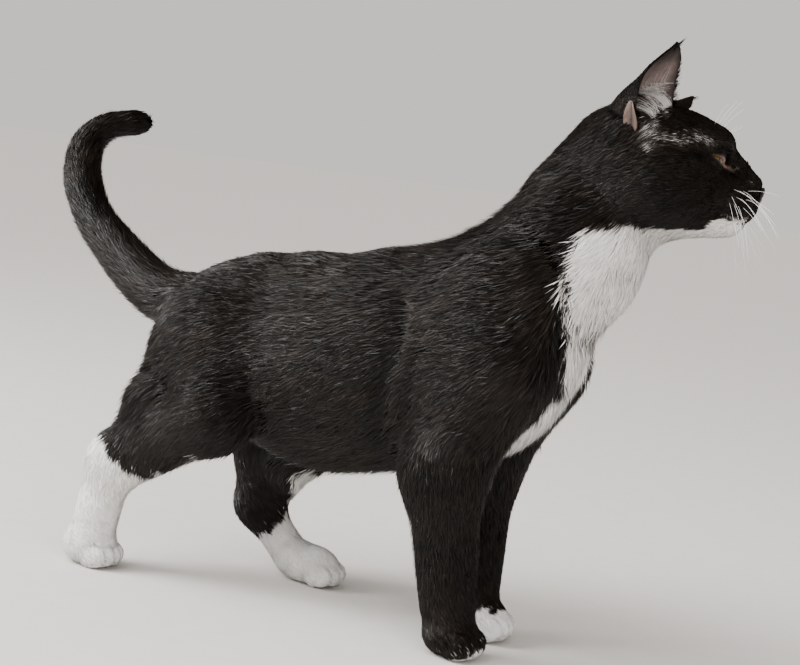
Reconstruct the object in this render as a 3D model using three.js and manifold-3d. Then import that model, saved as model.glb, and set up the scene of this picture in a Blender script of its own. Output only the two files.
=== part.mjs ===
// A young black-and-white shorthair cat, life size, standing still with its hind legs apart,
// its tail curled up behind it and its head turned to its left.
// Millimetres, +X towards the head, +Y to the cat's left, +Z up. The shapes are set out from a point
// on the floor by the forepaws, and the finished cat is moved so that the origin is on the floor,
// under the middle of its bounding box.
import * as THREE from 'three';
import { mergeVertices } from 'three/addons/utils/BufferGeometryUtils.js';
import Module from 'manifold-3d';

const wasm = await Module();
wasm.setup();

// ---------------------------------------------------------------- driving dimensions
const CUT = 0.3; // the gap of a thin cut between two pieces
const RIGHT = -1;
const LEFT = 1;
const DEG = THREE.MathUtils.DEG2RAD;

// The head's own frame: its centre, and how far it is turned to the left, nosed up and tilted to
// the left, in degrees. In it +X is to the nose, +Y to the cat's left, +Z up.
const HEAD = { centre: [62, 17, 248], yaw: 18, pitch: 0, tilt: 14 };
const EYE = { at: [13, 15, 6.5], radius: 9.3 };
const NOSE = { at: [43, 0, -3.2], size: [9, 11, 8.5] };

// Each ear is a sheet between its front margin, the ridge of its back and its rear margin, each
// from the base to the tip. Given for the left ear; the right one is its mirror.
const EAR = {
  front: [[-6, 9, 29], [-7.7, 17, 42], [-8.2, 25, 51.5], [-10.4, 31, 57.5]],
  back: [[-36, 12, 17], [-29, 18, 31], [-19, 25, 43], [-10.6, 31, 57.3]],
  rear: [[-17.5, 25, 11], [-21, 34.5, 23], [-21, 35.5, 38], [-10.6, 31.4, 57]],
  thickness: 2.4,
  base: [-20, 22, 26],
  forward: { right_ear: 8, left_ear: 27 }, // how far each is swung forward from this, in degrees
  outward: { right_ear: 0, left_ear: 2 },
};

// The back from the root of the tail to the withers: point and radius.
const SPINE = [
  [[-190, 0, 145], 17],
  [[-166, 0, 152.5], 19],
  [[-146, 0, 159], 19.5],
  [[-119, 0, 163], 19.5],
  [[-72, 0, 170], 20],
  [[-46, 0, 176], 20],
  [[-22, 1, 188], 22],
];
const NECK = [
  [[-3, 0, 175], 38],
  [[18, 3, 203], 35],
  [[34, 7, 236], 29],
];
const NAPE = [
  [[17, 3, 233], 19.2],
  [[33, 8, 256], 20.8],
];

// Joints of each leg, with y as the distance out from the middle of the body.
const LEGS = {
  right_foreleg: { shoulder: [7, 26, 143], elbow: [-18, 29, 92], wrist: [-8, 25, 26], paw: [-4, 24, 10] },
  left_foreleg: { shoulder: [5, 26, 143], elbow: [-24, 28, 92], wrist: [-17, 23, 26], paw: [-9, 22, 10] },
  right_hindleg: {
    hip: [-166, 22, 126],
    knee: [-150, 34, 97],
    ham: [-195, 28, 94],
    hock: [-214, 31, 59],
    ball: [-221, 31, 16],
    paw: [-218, 31, 9],
  },
  left_hindleg: {
    hip: [-166, 22, 126],
    knee: [-134, 38, 84],
    ham: [-172, 28, 96],
    hock: [-163, 41, 38],
    ball: [-139, 43, 14],
    paw: [-122, 44, 9],
  },
};

// The middle line of the tail, and its radius at a share t of its length.
const TAIL = [
  [-198, 0, 146.5],
  [-217.5, 1, 149.6],
  [-237.6, 4, 158.8],
  [-255.4, 8, 169.4],
  [-274, 13, 181],
  [-290, 20, 196],
  [-300, 27, 210],
  [-304, 35, 225],
  [-299, 42, 235],
  [-291, 48, 239],
  [-283, 54, 241],
];
const tailRadius = (t) => 15.5 - 5.1 * Math.min(1, t * 2.3) - 3.6 * THREE.MathUtils.smoothstep(t, 0.55, 0.9);

// ---------------------------------------------------------------- shapes as distance fields
const vec = ([x, y, z]) => new THREE.Vector3(x, y, z);

// A length of limb between two points, with a radius at each end. `flat` is its breadth across the
// body as a share of its depth. `soft` is how widely it blends into what it joins.
function limb(from, to, radiusFrom, radiusTo, { flat = 1, soft = 10 } = {}) {
  const a = vec(from);
  const b = vec(to);
  a.y /= flat;
  b.y /= flat;
  const along = b.clone().sub(a);
  const length2 = along.lengthSq();
  const distance = (p) => {
    const x = p.x - a.x;
    const y = p.y / flat - a.y;
    const z = p.z - a.z;
    const t = THREE.MathUtils.clamp((x * along.x + y * along.y + z * along.z) / length2, 0, 1);
    const away = Math.hypot(x - t * along.x, y - t * along.y, z - t * along.z);
    return (away - THREE.MathUtils.lerp(radiusFrom, radiusTo, t)) * Math.min(1, flat);
  };
  return { distance, soft };
}

// An egg-shaped muscle or pad. `pitch` tips its front up and `yaw` turns it left, in degrees.
function lump(centre, radii, { pitch = 0, yaw = 0, soft = 10 } = {}) {
  const c = vec(centre);
  const turned = new THREE.Euler(0, -pitch * DEG, yaw * DEG, 'ZYX');
  const turnBack = new THREE.Quaternion().setFromEuler(turned).invert();
  const q = new THREE.Vector3();
  const distance = (p) => {
    q.copy(p).sub(c).applyQuaternion(turnBack);
    const k0 = Math.hypot(q.x / radii[0], q.y / radii[1], q.z / radii[2]);
    const k1 = Math.hypot(q.x / radii[0] ** 2, q.y / radii[1] ** 2, q.z / radii[2] ** 2);
    return k1 < 1e-9 ? -Math.min(...radii) : (k0 * (k0 - 1)) / k1;
  };
  return { distance, soft };
}

// A chain of limb lengths through several [point, radius] stations.
function chain(stations, options) {
  return stations.slice(1).map(([to, r], i) => limb(stations[i][0], to, stations[i][1], r, options));
}

function smoothUnion(a, b, soft) {
  const h = Math.max(soft - Math.abs(a - b), 0) / soft;
  return Math.min(a, b) - (h * h * soft) / 4;
}

// Several shapes run together into one field, and a field with hollows pressed into it.
const blend = (shapes) => (p) => shapes.reduce((d, s) => smoothUnion(d, s.distance(p), s.soft), 1e3);
const press = (field, hollows) => (p) =>
  hollows.reduce((d, h) => -smoothUnion(-d, h.distance(p), h.soft), field(p));

// ---------------------------------------------------------------- the cat's forms
function torsoShapes() {
  return [
    lump([-46, 0, 141], [66, 38, 54], { pitch: 14, soft: 18 }), // ribcage
    lump([-98, 0, 127], [70, 40, 54], { pitch: 8, soft: 20 }), // belly
    lump([-155, 0, 128], [45, 35, 42], { pitch: 14, soft: 14 }), // pelvis
    lump([-6, 0, 146], [36, 28, 46], { pitch: -20, soft: 18 }), // breast
    ...chain(SPINE, { soft: 12 }),
    ...chain(NECK, { flat: 0.86, soft: 16 }),
    ...chain(NAPE, { soft: 12 }),
  ];
}

function toeShapes([x, y, z], side, { reach, spread, size }) {
  return [-1.5, -0.5, 0.5, 1.5].map((n) => {
    const middle = [x + reach - Math.abs(n) * 2, y + side * n * spread, z - 2.4];
    return lump(middle, [size + 2, size * 0.72, size], { soft: 3 });
  });
}

function forelegShapes(side, { shoulder, elbow, wrist, paw }) {
  const at = ([x, y, z]) => [x, side * y, z];
  return [
    lump(at([-6, 28, 160]), [32, 13, 48], { pitch: -22, soft: 16 }), // shoulder blade
    limb(at(shoulder), at(elbow), 23, 22, { flat: 0.72, soft: 14 }),
    limb(at(elbow), at(wrist), 20, 15, { flat: 0.8, soft: 12 }),
    lump(at(paw), [15, 13, 11.2], { soft: 7 }),
    ...toeShapes(at(paw), side, { reach: 9, spread: 5.6, size: 7.4 }),
  ];
}

function hindlegShapes(side, { hip, knee, ham, hock, ball, paw }) {
  const at = ([x, y, z]) => [x, side * y, z];
  const upright = hock[2] > 50;
  const shin = [hock[0] + (upright ? 10 : 3), side * hock[1], hock[2]];
  return [
    limb(at(hip), at(knee), 34, 21, { flat: 0.62, soft: 12 }),
    limb(at([-184, 20, 122]), at(ham), 16, 14, { flat: 0.8, soft: 10 }), // back of the thigh
    limb(at(ham), at(hock), 13, 10, { flat: 0.7, soft: 8 }),
    limb(at(knee), shin, 21, upright ? 14 : 11, { flat: 0.7, soft: 10 }),
    limb(at(hock), at(ball), upright ? 13.4 : 11, upright ? 12.6 : 10.5, { flat: 0.84, soft: 8 }),
    lump(at([paw[0] - 4, paw[1], 10]), [upright ? 15 : 18, 13, 11.2], { soft: 6 }),
    ...toeShapes(at(paw), side, { reach: upright ? 7 : 9, spread: 5.4, size: 7 }),
  ];
}

const tailCurve = new THREE.CatmullRomCurve3(TAIL.map(vec));
function tailShapes() {
  const steps = 22;
  const station = (i) => [tailCurve.getPoint(i / steps).toArray(), tailRadius(i / steps)];
  const stations = Array.from({ length: steps + 1 }, (_, i) => station(i));
  return chain(stations, { soft: 3 });
}

const bothSides = (make) => [RIGHT, LEFT].flatMap(make);
function headShapes() {
  return [
    lump([-8, 0, 7], [36, 30, 27], { soft: 8 }), // braincase
    limb([-6, 0, -6], [20, 0, -8], 26, 18, { soft: 10 }), // face
    limb([7, 0, 13.9], [36.5, 0, -0.5], 13, 6.3, { soft: 8 }), // bridge of the nose
    limb([-8, 0, -16], [28.5, 0, -18.5], 13, 6.3, { soft: 8 }), // lower jaw
    ...bothSides((s) => [
      lump([-4, s * 19, -9], [22, 13, 19], { soft: 10 }), // cheek
      lump([15, s * 15, 15.5], [11, 8, 7], { soft: 9 }), // brow
      lump([31, s * 6.5, -9.3], [10.5, 8, 8.2], { soft: 6 }), // whisker pad
      lump([-18, s * 17, 19], [15, 11, 10], { soft: 9 }), // root of the ear
    ]),
  ];
}
const eyeHollows = bothSides((s) => [lump([24, s * 20, 6], [8, 6.5, 4.6], { yaw: s * 38, soft: 5 })]);

const headTurn = new THREE.Matrix4()
  .makeRotationFromEuler(new THREE.Euler(-HEAD.tilt * DEG, -HEAD.pitch * DEG, HEAD.yaw * DEG, 'ZYX'))
  .setPosition(...HEAD.centre);
const headTurnBack = headTurn.clone().invert();
const headField = press(blend(headShapes()), eyeHollows);
const inHead = new THREE.Vector3();
const headInPlace = (p) => headField(inHead.copy(p).applyMatrix4(headTurnBack));
const torsoField = blend(torsoShapes());
const tailField = blend(tailShapes());
const legFields = Object.entries(LEGS).map(([name, joints]) => {
  const side = name.startsWith('right') ? RIGHT : LEFT;
  return blend(name.endsWith('foreleg') ? forelegShapes(side, joints) : hindlegShapes(side, joints));
});

function catField(p) {
  let d = p.x > -30 ? smoothUnion(torsoField(p), headInPlace(p), 12) : torsoField(p);
  for (const leg of legFields) d = smoothUnion(d, leg(p), 12);
  return p.x < -150 ? smoothUnion(d, tailField(p), 10) : d;
}

// ---------------------------------------------------------------- from field to mesh
// Surface nets: one vertex in each grid cell that the surface crosses, then set down on the surface.
function polygonise(field, low, high, cell) {
  const size = low.map((l, i) => Math.ceil((high[i] - l) / cell) + 1);
  const index = (i, j, k) => i + size[0] * (j + size[1] * k);
  const values = new Float64Array(size[0] * size[1] * size[2]);
  const p = new THREE.Vector3();
  for (let k = 0; k < size[2]; k++)
    for (let j = 0; j < size[1]; j++)
      for (let i = 0; i < size[0]; i++) {
        const edge = [i, j, k].some((n, a) => n === 0 || n === size[a] - 1);
        p.set(low[0] + i * cell, low[1] + j * cell, low[2] + k * cell);
        values[index(i, j, k)] = edge ? Math.max(field(p), cell * 0.01) : field(p);
      }
  const vertexOf = new Int32Array(values.length).fill(-1);
  const positions = [];
  const corners = [0, 1, 2, 3, 4, 5, 6, 7].map((n) => [n & 1, (n >> 1) & 1, n >> 2]);
  const edges = corners.flatMap((a, m) =>
    corners.map((b, n) => [m, n]).filter(([, n]) => m < n && [1, 2, 4].includes(m ^ n)),
  );
  for (let k = 0; k < size[2] - 1; k++)
    for (let j = 0; j < size[1] - 1; j++)
      for (let i = 0; i < size[0] - 1; i++) {
        const f = corners.map(([a, b, c]) => values[index(i + a, j + b, k + c)]);
        const crossed = edges.filter(([m, n]) => f[m] < 0 !== f[n] < 0);
        if (!crossed.length) continue;
        const sum = [0, 0, 0];
        for (const [m, n] of crossed) {
          const t = f[m] / (f[m] - f[n]);
          corners[m].forEach((c, a) => (sum[a] += THREE.MathUtils.lerp(c, corners[n][a], t)));
        }
        vertexOf[index(i, j, k)] = positions.length / 3;
        p.fromArray([i, j, k].map((n, a) => low[a] + (n + sum[a] / crossed.length) * cell));
        positions.push(...settle(field, p, cell).toArray());
      }
  const faces = [];
  const steps = [
    [1, 0, 0],
    [0, 1, 0],
    [0, 0, 1],
  ];
  for (let k = 0; k < size[2] - 1; k++)
    for (let j = 0; j < size[1] - 1; j++)
      for (let i = 0; i < size[0] - 1; i++)
        steps.forEach((s, a) => {
          if ([i, j, k].some((n, b) => b !== a && n === 0)) return;
          const here = values[index(i, j, k)] < 0;
          if (here === values[index(i + s[0], j + s[1], k + s[2])] < 0) return;
          const [u, w] = [steps[(a + 1) % 3], steps[(a + 2) % 3]];
          const at = (m, n) => vertexOf[index(...[i, j, k].map((c, b) => c - m * u[b] - n * w[b]))];
          const quad = [at(0, 0), at(1, 0), at(1, 1), at(0, 1)];
          if (!here) quad.reverse();
          faces.push(quad[0], quad[1], quad[2], quad[0], quad[2], quad[3]);
        });
  const geometry = new THREE.BufferGeometry();
  geometry.setAttribute('position', new THREE.Float32BufferAttribute(positions, 3));
  geometry.setIndex(faces);
  return geometry;
}

// Moves a point near the surface down onto it, along the field's slope.
function settle(field, point, cell) {
  const h = 0.05;
  const start = point.clone();
  for (let n = 0; n < 3; n++) {
    const d = field(point);
    if (Math.abs(d) > cell * 0.6) return start;
    const slope = ['x', 'y', 'z'].map((axis) => {
      const ahead = point.clone();
      ahead[axis] += h;
      return (field(ahead) - d) / h;
    });
    const g = vec(slope);
    point.addScaledVector(g, -d / Math.max(g.lengthSq(), 0.25));
  }
  return point.distanceTo(start) < cell * 0.5 ? point : start;
}

// ---------------------------------------------------------------- from mesh to solid and back
// `seams` says that vertices lie double along the geometry's seams and have to be merged.
function solidOf(geometry, seams = true) {
  const bare = new THREE.BufferGeometry().setAttribute('position', geometry.attributes.position);
  bare.setIndex(geometry.index);
  const merged = seams ? mergeVertices(bare, 1e-3) : bare;
  const faces = [];
  for (let i = 0; i < merged.index.count; i += 3) {
    const [a, b, c] = [0, 1, 2].map((n) => merged.index.getX(i + n));
    if (a !== b && b !== c && c !== a) faces.push(a, b, c);
  }
  const vertProperties = Float32Array.from(merged.attributes.position.array);
  return new wasm.Manifold(new wasm.Mesh({ numProp: 3, vertProperties, triVerts: Uint32Array.from(faces) }));
}

function geometryOf(solid) {
  const mesh = solid.getMesh();
  const geometry = new THREE.BufferGeometry();
  geometry.setAttribute('position', new THREE.Float32BufferAttribute(mesh.vertProperties, 3));
  geometry.setIndex(new THREE.Uint32BufferAttribute(mesh.triVerts, 1));
  return geometry;
}

// The largest of the bodies a cut leaves.
const main = (solid) => solid.decompose().sort((a, b) => b.volume() - a.volume())[0];

// ---------------------------------------------------------------- where the cat is cut
const plane = (point, normal) => {
  const n = vec(normal).normalize();
  return { n, offset: n.dot(vec(point)) };
};
const beyond = (solid, { n, offset }) => solid.trimByPlane(n.toArray(), offset + CUT / 2);
const before = (solid, { n, offset }) => solid.trimByPlane(n.clone().negate().toArray(), CUT / 2 - offset);

const tailPlane = (t) => plane(tailCurve.getPoint(t).toArray(), tailCurve.getTangent(t).toArray());
const CUTS = {
  head: plane([42, 8, 244], [0.76, 0.22, 0.61]),
  neck: plane([5, 0, 192], [0.65, 0, 0.76]),
  tail: plane([-208.5, 0, 149], [-0.88, 0, 0.47]),
  tail_middle: tailPlane(0.42),
  tail_tip: tailPlane(0.72),
  forepaw: plane([0, 0, 19], [0, 0, 1]),
  right_hindfoot: plane([-210, 0, 58], [0.45, 0, 0.89]),
  left_hindfoot: plane([-160, 0, 34], [0.2, 0, 0.98]),
};

// The room a leg takes below the trunk: a block whose top runs from one point to another in the
// side view.
function legRoom(name, grow) {
  const side = name.startsWith('right') ? RIGHT : LEFT;
  const [[x0, z0], [x1, z1]] = name.endsWith('foreleg') ? [[-62, 77], [44, 112]] : [[-252, 126], [-96, 66]];
  const length = Math.hypot(x1 - x0, z1 - z0) + 70;
  const room = new THREE.BoxGeometry(length + grow * 2, 64 + grow * 2, 160 + grow * 2);
  room.translate(name.endsWith('foreleg') ? 0 : 35, side * 38, -80);
  room.rotateY(-Math.atan2(z1 - z0, x1 - x0));
  room.translate((x0 + x1) / 2, 0, (z0 + z1) / 2);
  return solidOf(room);
}

const inPlace = (geometry) => geometry.applyMatrix4(headTurn);
const noseRoom = (grow) =>
  solidOf(inPlace(new THREE.BoxGeometry(...NOSE.size.map((s) => s + grow * 2)).translate(...NOSE.at)));
const eyeball = (side, grow, detail) => {
  const [x, y, z] = EYE.at;
  const sphere = new THREE.SphereGeometry(EYE.radius + grow, detail, Math.round(detail * 0.6));
  return inPlace(sphere.translate(x, side * y, z));
};

// ---------------------------------------------------------------- the ears
function earSheet(name) {
  const side = name.startsWith('right') ? RIGHT : LEFT;
  const turn = new THREE.Matrix4()
    .makeTranslation(...EAR.base)
    .multiply(new THREE.Matrix4().makeRotationX(-EAR.outward[name] * DEG))
    .multiply(new THREE.Matrix4().makeRotationY(EAR.forward[name] * DEG))
    .multiply(new THREE.Matrix4().makeTranslation(...EAR.base.map((c) => -c)));
  const curves = [EAR.front, EAR.back, EAR.rear].map((line) => new THREE.CatmullRomCurve3(line.map(vec)));
  const sheet = (u, v) => {
    const [front, back, rear] = curves.map((c) => c.getPoint(u));
    return front
      .multiplyScalar((v * (v - 1)) / 2)
      .addScaledVector(back, 1 - v * v)
      .addScaledVector(rear, (v * (v + 1)) / 2);
  };
  const rows = 8;
  const columns = 8;
  const outer = [];
  const inner = [];
  for (let i = 0; i <= rows; i++)
    for (let j = 0; j <= columns; j++) {
      const u = Math.min(i / rows, 0.995);
      const v = (2 * j) / columns - 1;
      const p = sheet(u, v);
      const across = sheet(u, Math.min(v + 0.02, 1)).sub(sheet(u, Math.max(v - 0.02, -1)));
      const along = sheet(Math.min(u + 0.005, 1), v).sub(sheet(u - 0.01 * (u > 0.5), v));
      const thick = EAR.thickness * (1 - 0.5 * Math.max(v * v, u ** 3));
      const inwards = along.cross(across).normalize().multiplyScalar(thick);
      outer.push(p.clone());
      inner.push(p.add(inwards));
    }
  const points = [...outer, ...inner].map((p) => {
    p.applyMatrix4(turn);
    p.y *= side;
    return p;
  });
  const n = outer.length;
  const at = (i, j, inside) => i * (columns + 1) + j + (inside ? n : 0);
  const faces = [];
  const quad = (a, b, c, d) => faces.push(a, b, c, a, c, d);
  for (let i = 0; i < rows; i++)
    for (let j = 0; j < columns; j++) {
      quad(at(i, j), at(i, j + 1), at(i + 1, j + 1), at(i + 1, j));
      quad(at(i, j, 1), at(i + 1, j, 1), at(i + 1, j + 1, 1), at(i, j + 1, 1));
    }
  for (let i = 0; i < rows; i++) {
    quad(at(i, 0), at(i + 1, 0), at(i + 1, 0, 1), at(i, 0, 1));
    quad(at(i, columns), at(i, columns, 1), at(i + 1, columns, 1), at(i + 1, columns));
  }
  for (let j = 0; j < columns; j++) {
    quad(at(0, j), at(0, j, 1), at(0, j + 1, 1), at(0, j + 1));
    quad(at(rows, j), at(rows, j + 1), at(rows, j + 1, 1), at(rows, j, 1));
  }
  const geometry = new THREE.BufferGeometry().setFromPoints(points);
  geometry.setIndex(side === RIGHT ? faces.reverse() : faces);
  return inPlace(geometry);
}

// ---------------------------------------------------------------- the pieces
const slab = (low, high, cell, field = catField) =>
  solidOf(polygonise(field, low, high, cell), false).trimByPlane([0, 0, 1], 0);
const cut = (solid, rooms) => rooms.reduce((s, room) => s.subtract(room), solid);
const legNames = Object.keys(LEGS);

function trunk() {
  const whole = slab([-238, -70, 45], [80, 70, 262], 14.4);
  const kept = before(before(whole, CUTS.neck), CUTS.tail);
  return cut(kept, legNames.map((name) => legRoom(name, CUT / 2)));
}

function neck() {
  return before(beyond(slab([-62, -60, 118], [100, 70, 306], 11.5), CUTS.neck), CUTS.head);
}

const HEAD_BOX = [[0, -50, 192], [124, 74, 306]];
function head() {
  const whole = beyond(slab(...HEAD_BOX, 6), CUTS.head);
  return cut(whole, [noseRoom(CUT / 2), ...[RIGHT, LEFT].map((s) => solidOf(eyeball(s, CUT, 16)))]);
}

function nose() {
  return slab(...HEAD_BOX, 3).intersect(noseRoom(-CUT / 2));
}

function leg(name) {
  const front = name.endsWith('foreleg');
  const y = name.startsWith('right') ? [-70, -4] : [4, 70];
  const [low, high] = front ? [[-70, y[0], 8], [52, y[1], 118]] : [[-262, y[0], 8], [-88, y[1], 134]];
  const inRoom = slab(low, high, 8.8).intersect(legRoom(name, -CUT / 2));
  return beyond(inRoom, CUTS[front ? 'forepaw' : name.replace('leg', 'foot')]);
}

function foot(name) {
  const front = name.endsWith('forepaw');
  const legName = name.replace('paw', 'leg').replace('foot', 'leg');
  const { paw, hock } = LEGS[legName];
  const side = name.startsWith('right') ? RIGHT : LEFT;
  const back = front ? paw[0] - 30 : Math.min(hock[0], paw[0]) - 30;
  const top = front ? 30 : hock[2] + 30;
  const low = [back, side * paw[1] - 25, -7];
  const high = [paw[0] + 40, side * paw[1] + 25, top];
  const piece = slab(low, high, 6).intersect(legRoom(legName, -CUT / 2));
  return before(piece, CUTS[front ? 'forepaw' : name]);
}

function tail(from, to, cell) {
  const whole = slab([-330, -25, 118], [-180, 82, 262], cell);
  const kept = beyond(whole, from);
  return to ? before(kept, to) : kept;
}

function ear(name) {
  const skull = slab(...HEAD_BOX, 6, (p) => catField(p) - 0.4);
  return solidOf(earSheet(name)).subtract(skull);
}

// ---------------------------------------------------------------- materials and the finished cat
const material = (color, roughness) => new THREE.MeshStandardMaterial({ color, roughness, metalness: 0 });
const coatBlack = () => material(0x171311, 0.55);
const coatWhite = () => material(0xf1ede6, 0.75);
const earSkin = () => material(0x3a2c28, 0.7);
const noseLeather = () => material(0x120f10, 0.45);
const eyeAmber = () => material(0x6b4a24, 0.12);

const cat = new THREE.Group();
cat.name = 'cat';
function add(name, geometry, surface) {
  const mesh = new THREE.Mesh(geometry, surface);
  mesh.name = name;
  cat.add(mesh);
}
const addSolid = (name, solid, surface) => add(name, geometryOf(main(solid)), surface);

addSolid('head', head(), coatBlack());
addSolid('nose', nose(), noseLeather());
addSolid('neck', neck(), coatBlack());
addSolid('trunk', trunk(), coatBlack());
addSolid('tail_base', tail(CUTS.tail, CUTS.tail_middle, 8), coatBlack());
addSolid('tail_middle', tail(CUTS.tail_middle, CUTS.tail_tip, 7), coatBlack());
addSolid('tail_tip', tail(CUTS.tail_tip, null, 5.5), coatBlack());
for (const name of legNames) addSolid(name, leg(name), coatBlack());
addSolid('right_forepaw', foot('right_forepaw'), coatBlack());
addSolid('left_forepaw', foot('left_forepaw'), coatWhite());
addSolid('right_hindfoot', foot('right_hindfoot'), coatWhite());
addSolid('left_hindfoot', foot('left_hindfoot'), coatWhite());
for (const name of ['right_ear', 'left_ear']) addSolid(name, ear(name), earSkin());
add('right_eye', eyeball(RIGHT, 0, 16), eyeAmber());
add('left_eye', eyeball(LEFT, 0, 16), eyeAmber());

// The origin goes to the floor under the middle of the bounding box.
const box = new THREE.Box3().setFromObject(cat);
const middle = box.getCenter(new THREE.Vector3());
for (const mesh of cat.children) mesh.geometry.translate(-middle.x, -middle.y, -box.min.z);

export default cat;
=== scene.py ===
"""The looks of a young black-and-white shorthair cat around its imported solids: one skin over all its
flesh, the coat in tufts that follow the lie of the hair, ears, lids, nose, eyes and whiskers.

Forms are set out in millimetres in the cat's own frame, as the solids are: +X to the head, +Y to the
cat's left, +Z up, from a point on the floor by the forepaws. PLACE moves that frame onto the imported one,
and everything is turned to metres when its mesh is made. Head forms have a frame of their own, with +X
to the nose."""
import math

import bmesh
import bpy
import numpy as np
from mathutils import Matrix, Vector


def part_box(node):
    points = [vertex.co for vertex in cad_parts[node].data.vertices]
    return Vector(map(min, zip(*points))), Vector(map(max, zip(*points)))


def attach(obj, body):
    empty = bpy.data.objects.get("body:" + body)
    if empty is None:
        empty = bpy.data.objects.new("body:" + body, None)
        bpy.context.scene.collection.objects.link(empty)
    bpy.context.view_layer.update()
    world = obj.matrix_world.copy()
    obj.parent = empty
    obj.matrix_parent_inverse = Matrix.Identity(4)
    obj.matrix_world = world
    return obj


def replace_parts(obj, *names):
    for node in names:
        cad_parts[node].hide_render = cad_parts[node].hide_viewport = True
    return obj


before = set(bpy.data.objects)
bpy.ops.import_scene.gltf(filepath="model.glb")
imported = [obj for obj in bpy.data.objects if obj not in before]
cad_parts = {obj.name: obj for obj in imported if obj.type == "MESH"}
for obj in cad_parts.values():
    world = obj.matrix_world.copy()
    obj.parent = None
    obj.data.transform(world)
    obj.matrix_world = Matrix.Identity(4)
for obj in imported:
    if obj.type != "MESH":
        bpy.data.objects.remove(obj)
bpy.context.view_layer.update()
rng = np.random.default_rng(20)  # tufts, hairs and whiskers all draw from this one, in order

# ------------------------------------------------------------------ driving dimensions
RIGHT, LEFT = -1, 1
SIDES = (RIGHT, LEFT)
WORD = {RIGHT: "right", LEFT: "left"}
MM = 0.001

HEAD_CENTRE = np.array([62.0, 17.0, 248.0])
HEAD_YAW, HEAD_TILT = 18.0, 14.0
EYE_AT, EYE_RADIUS = np.array([13.0, 15.0, 6.5]), 9.3
GAZE_OUT = 32.0  # how far each eye looks out from straight ahead, in degrees
LID_THICK = 1.0

SPINE = [((-190, 0, 145), 17), ((-166, 0, 152.5), 19), ((-146, 0, 159), 19.5), ((-119, 0, 163), 19.5),
         ((-72, 0, 170), 20), ((-46, 0, 176), 20), ((-22, 1, 188), 22)]
NECK = [((-3, 0, 175), 38), ((18, 3, 203), 35), ((34, 7, 236), 29)]
NAPE = [((17, 3, 233), 19.2), ((33, 8, 256), 20.8)]
FORELEGS = {
    RIGHT: dict(shoulder=(7, 26, 143), elbow=(-18, 29, 92), wrist=(-8, 25, 26), paw=(-4, 24, 10)),
    LEFT: dict(shoulder=(5, 26, 143), elbow=(-24, 28, 92), wrist=(-17, 23, 26), paw=(-9, 22, 10)),
}
HINDLEGS = {
    RIGHT: dict(knee=(-150, 34, 97), ham=(-195, 28, 94), hock=(-214, 31, 59), ball=(-221, 31, 16),
                paw=(-218, 31, 9)),
    LEFT: dict(knee=(-134, 38, 84), ham=(-172, 28, 96), hock=(-163, 41, 38), ball=(-139, 43, 14),
               paw=(-122, 44, 9)),
}
TAIL = [(-198, 0, 146.5), (-217.5, 1, 149.6), (-237.6, 4, 158.8), (-255.4, 8, 169.4),
        (-274, 13, 181), (-290, 20, 196), (-300, 27, 210), (-304, 35, 225), (-299, 42, 235),
        (-291, 48, 239), (-283, 54, 241)]
EAR = {
    "front": [(-6, 9, 29), (-7.7, 17, 42), (-8.2, 25, 51.5), (-10.4, 31, 57.5)],
    "back": [(-36, 12, 17), (-29, 18, 31), (-19, 25, 43), (-10.6, 31, 57.3)],
    "rear": [(-17.5, 25, 11), (-21, 34.5, 23), (-21, 35.5, 38), (-10.6, 31.4, 57)],
}
EAR_BASE = np.array([-20.0, 22.0, 26.0])
EAR_FORWARD = {RIGHT: 8, LEFT: 27}
EAR_OUTWARD = {RIGHT: 0, LEFT: 2}

FLESH = ["head", "neck", "trunk", "tail_base", "tail_middle", "tail_tip", "right_foreleg", "left_foreleg",
         "right_hindleg", "left_hindleg", "right_forepaw", "left_forepaw", "right_hindfoot", "left_hindfoot"]


# ------------------------------------------------------------------ vectors and turns
def length(v):
    return np.sqrt(np.einsum("...i,...i->...", v, v))


def unit(v):
    v = np.asarray(v, float)
    return v / np.maximum(length(v), 1e-9)[..., None]


def turn(axis, degrees):
    return np.array(Matrix.Rotation(math.radians(degrees), 3, axis))


def smoothstep(t, low, high):
    x = np.clip((t - low) / (high - low), 0, 1)
    return x * x * (3 - 2 * x)


def halve(low, high, outside, rounds):
    """Where a surface lies between low, inside it, and high, outside it."""
    for _ in range(rounds):
        middle = (low + high) / 2
        out = outside(middle)
        high, low = np.where(out, middle, high), np.where(out, low, middle)
    return (low + high) / 2


HEAD_TURN = turn("Z", HEAD_YAW) @ turn("X", -HEAD_TILT)


def to_head(p):
    return (p - HEAD_CENTRE) @ HEAD_TURN


def from_head(p):
    return np.asarray(p, float) @ HEAD_TURN.T + HEAD_CENTRE


def mirrored(side, point):
    return np.array([point[0], side * point[1], point[2]], float)


def one_side(p):
    """Points with the right side laid over the left one."""
    return np.abs(p * (0, 1, 0)) + p * (1, 0, 1)


low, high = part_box("right_eye")
PLACE = np.array((low + high) / 2) / MM - from_head(mirrored(RIGHT, EYE_AT))


def to_frame(p):
    return (np.asarray(p, float) + PLACE) * MM


def from_frame(p):
    return np.asarray(p, float) / MM - PLACE


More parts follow.
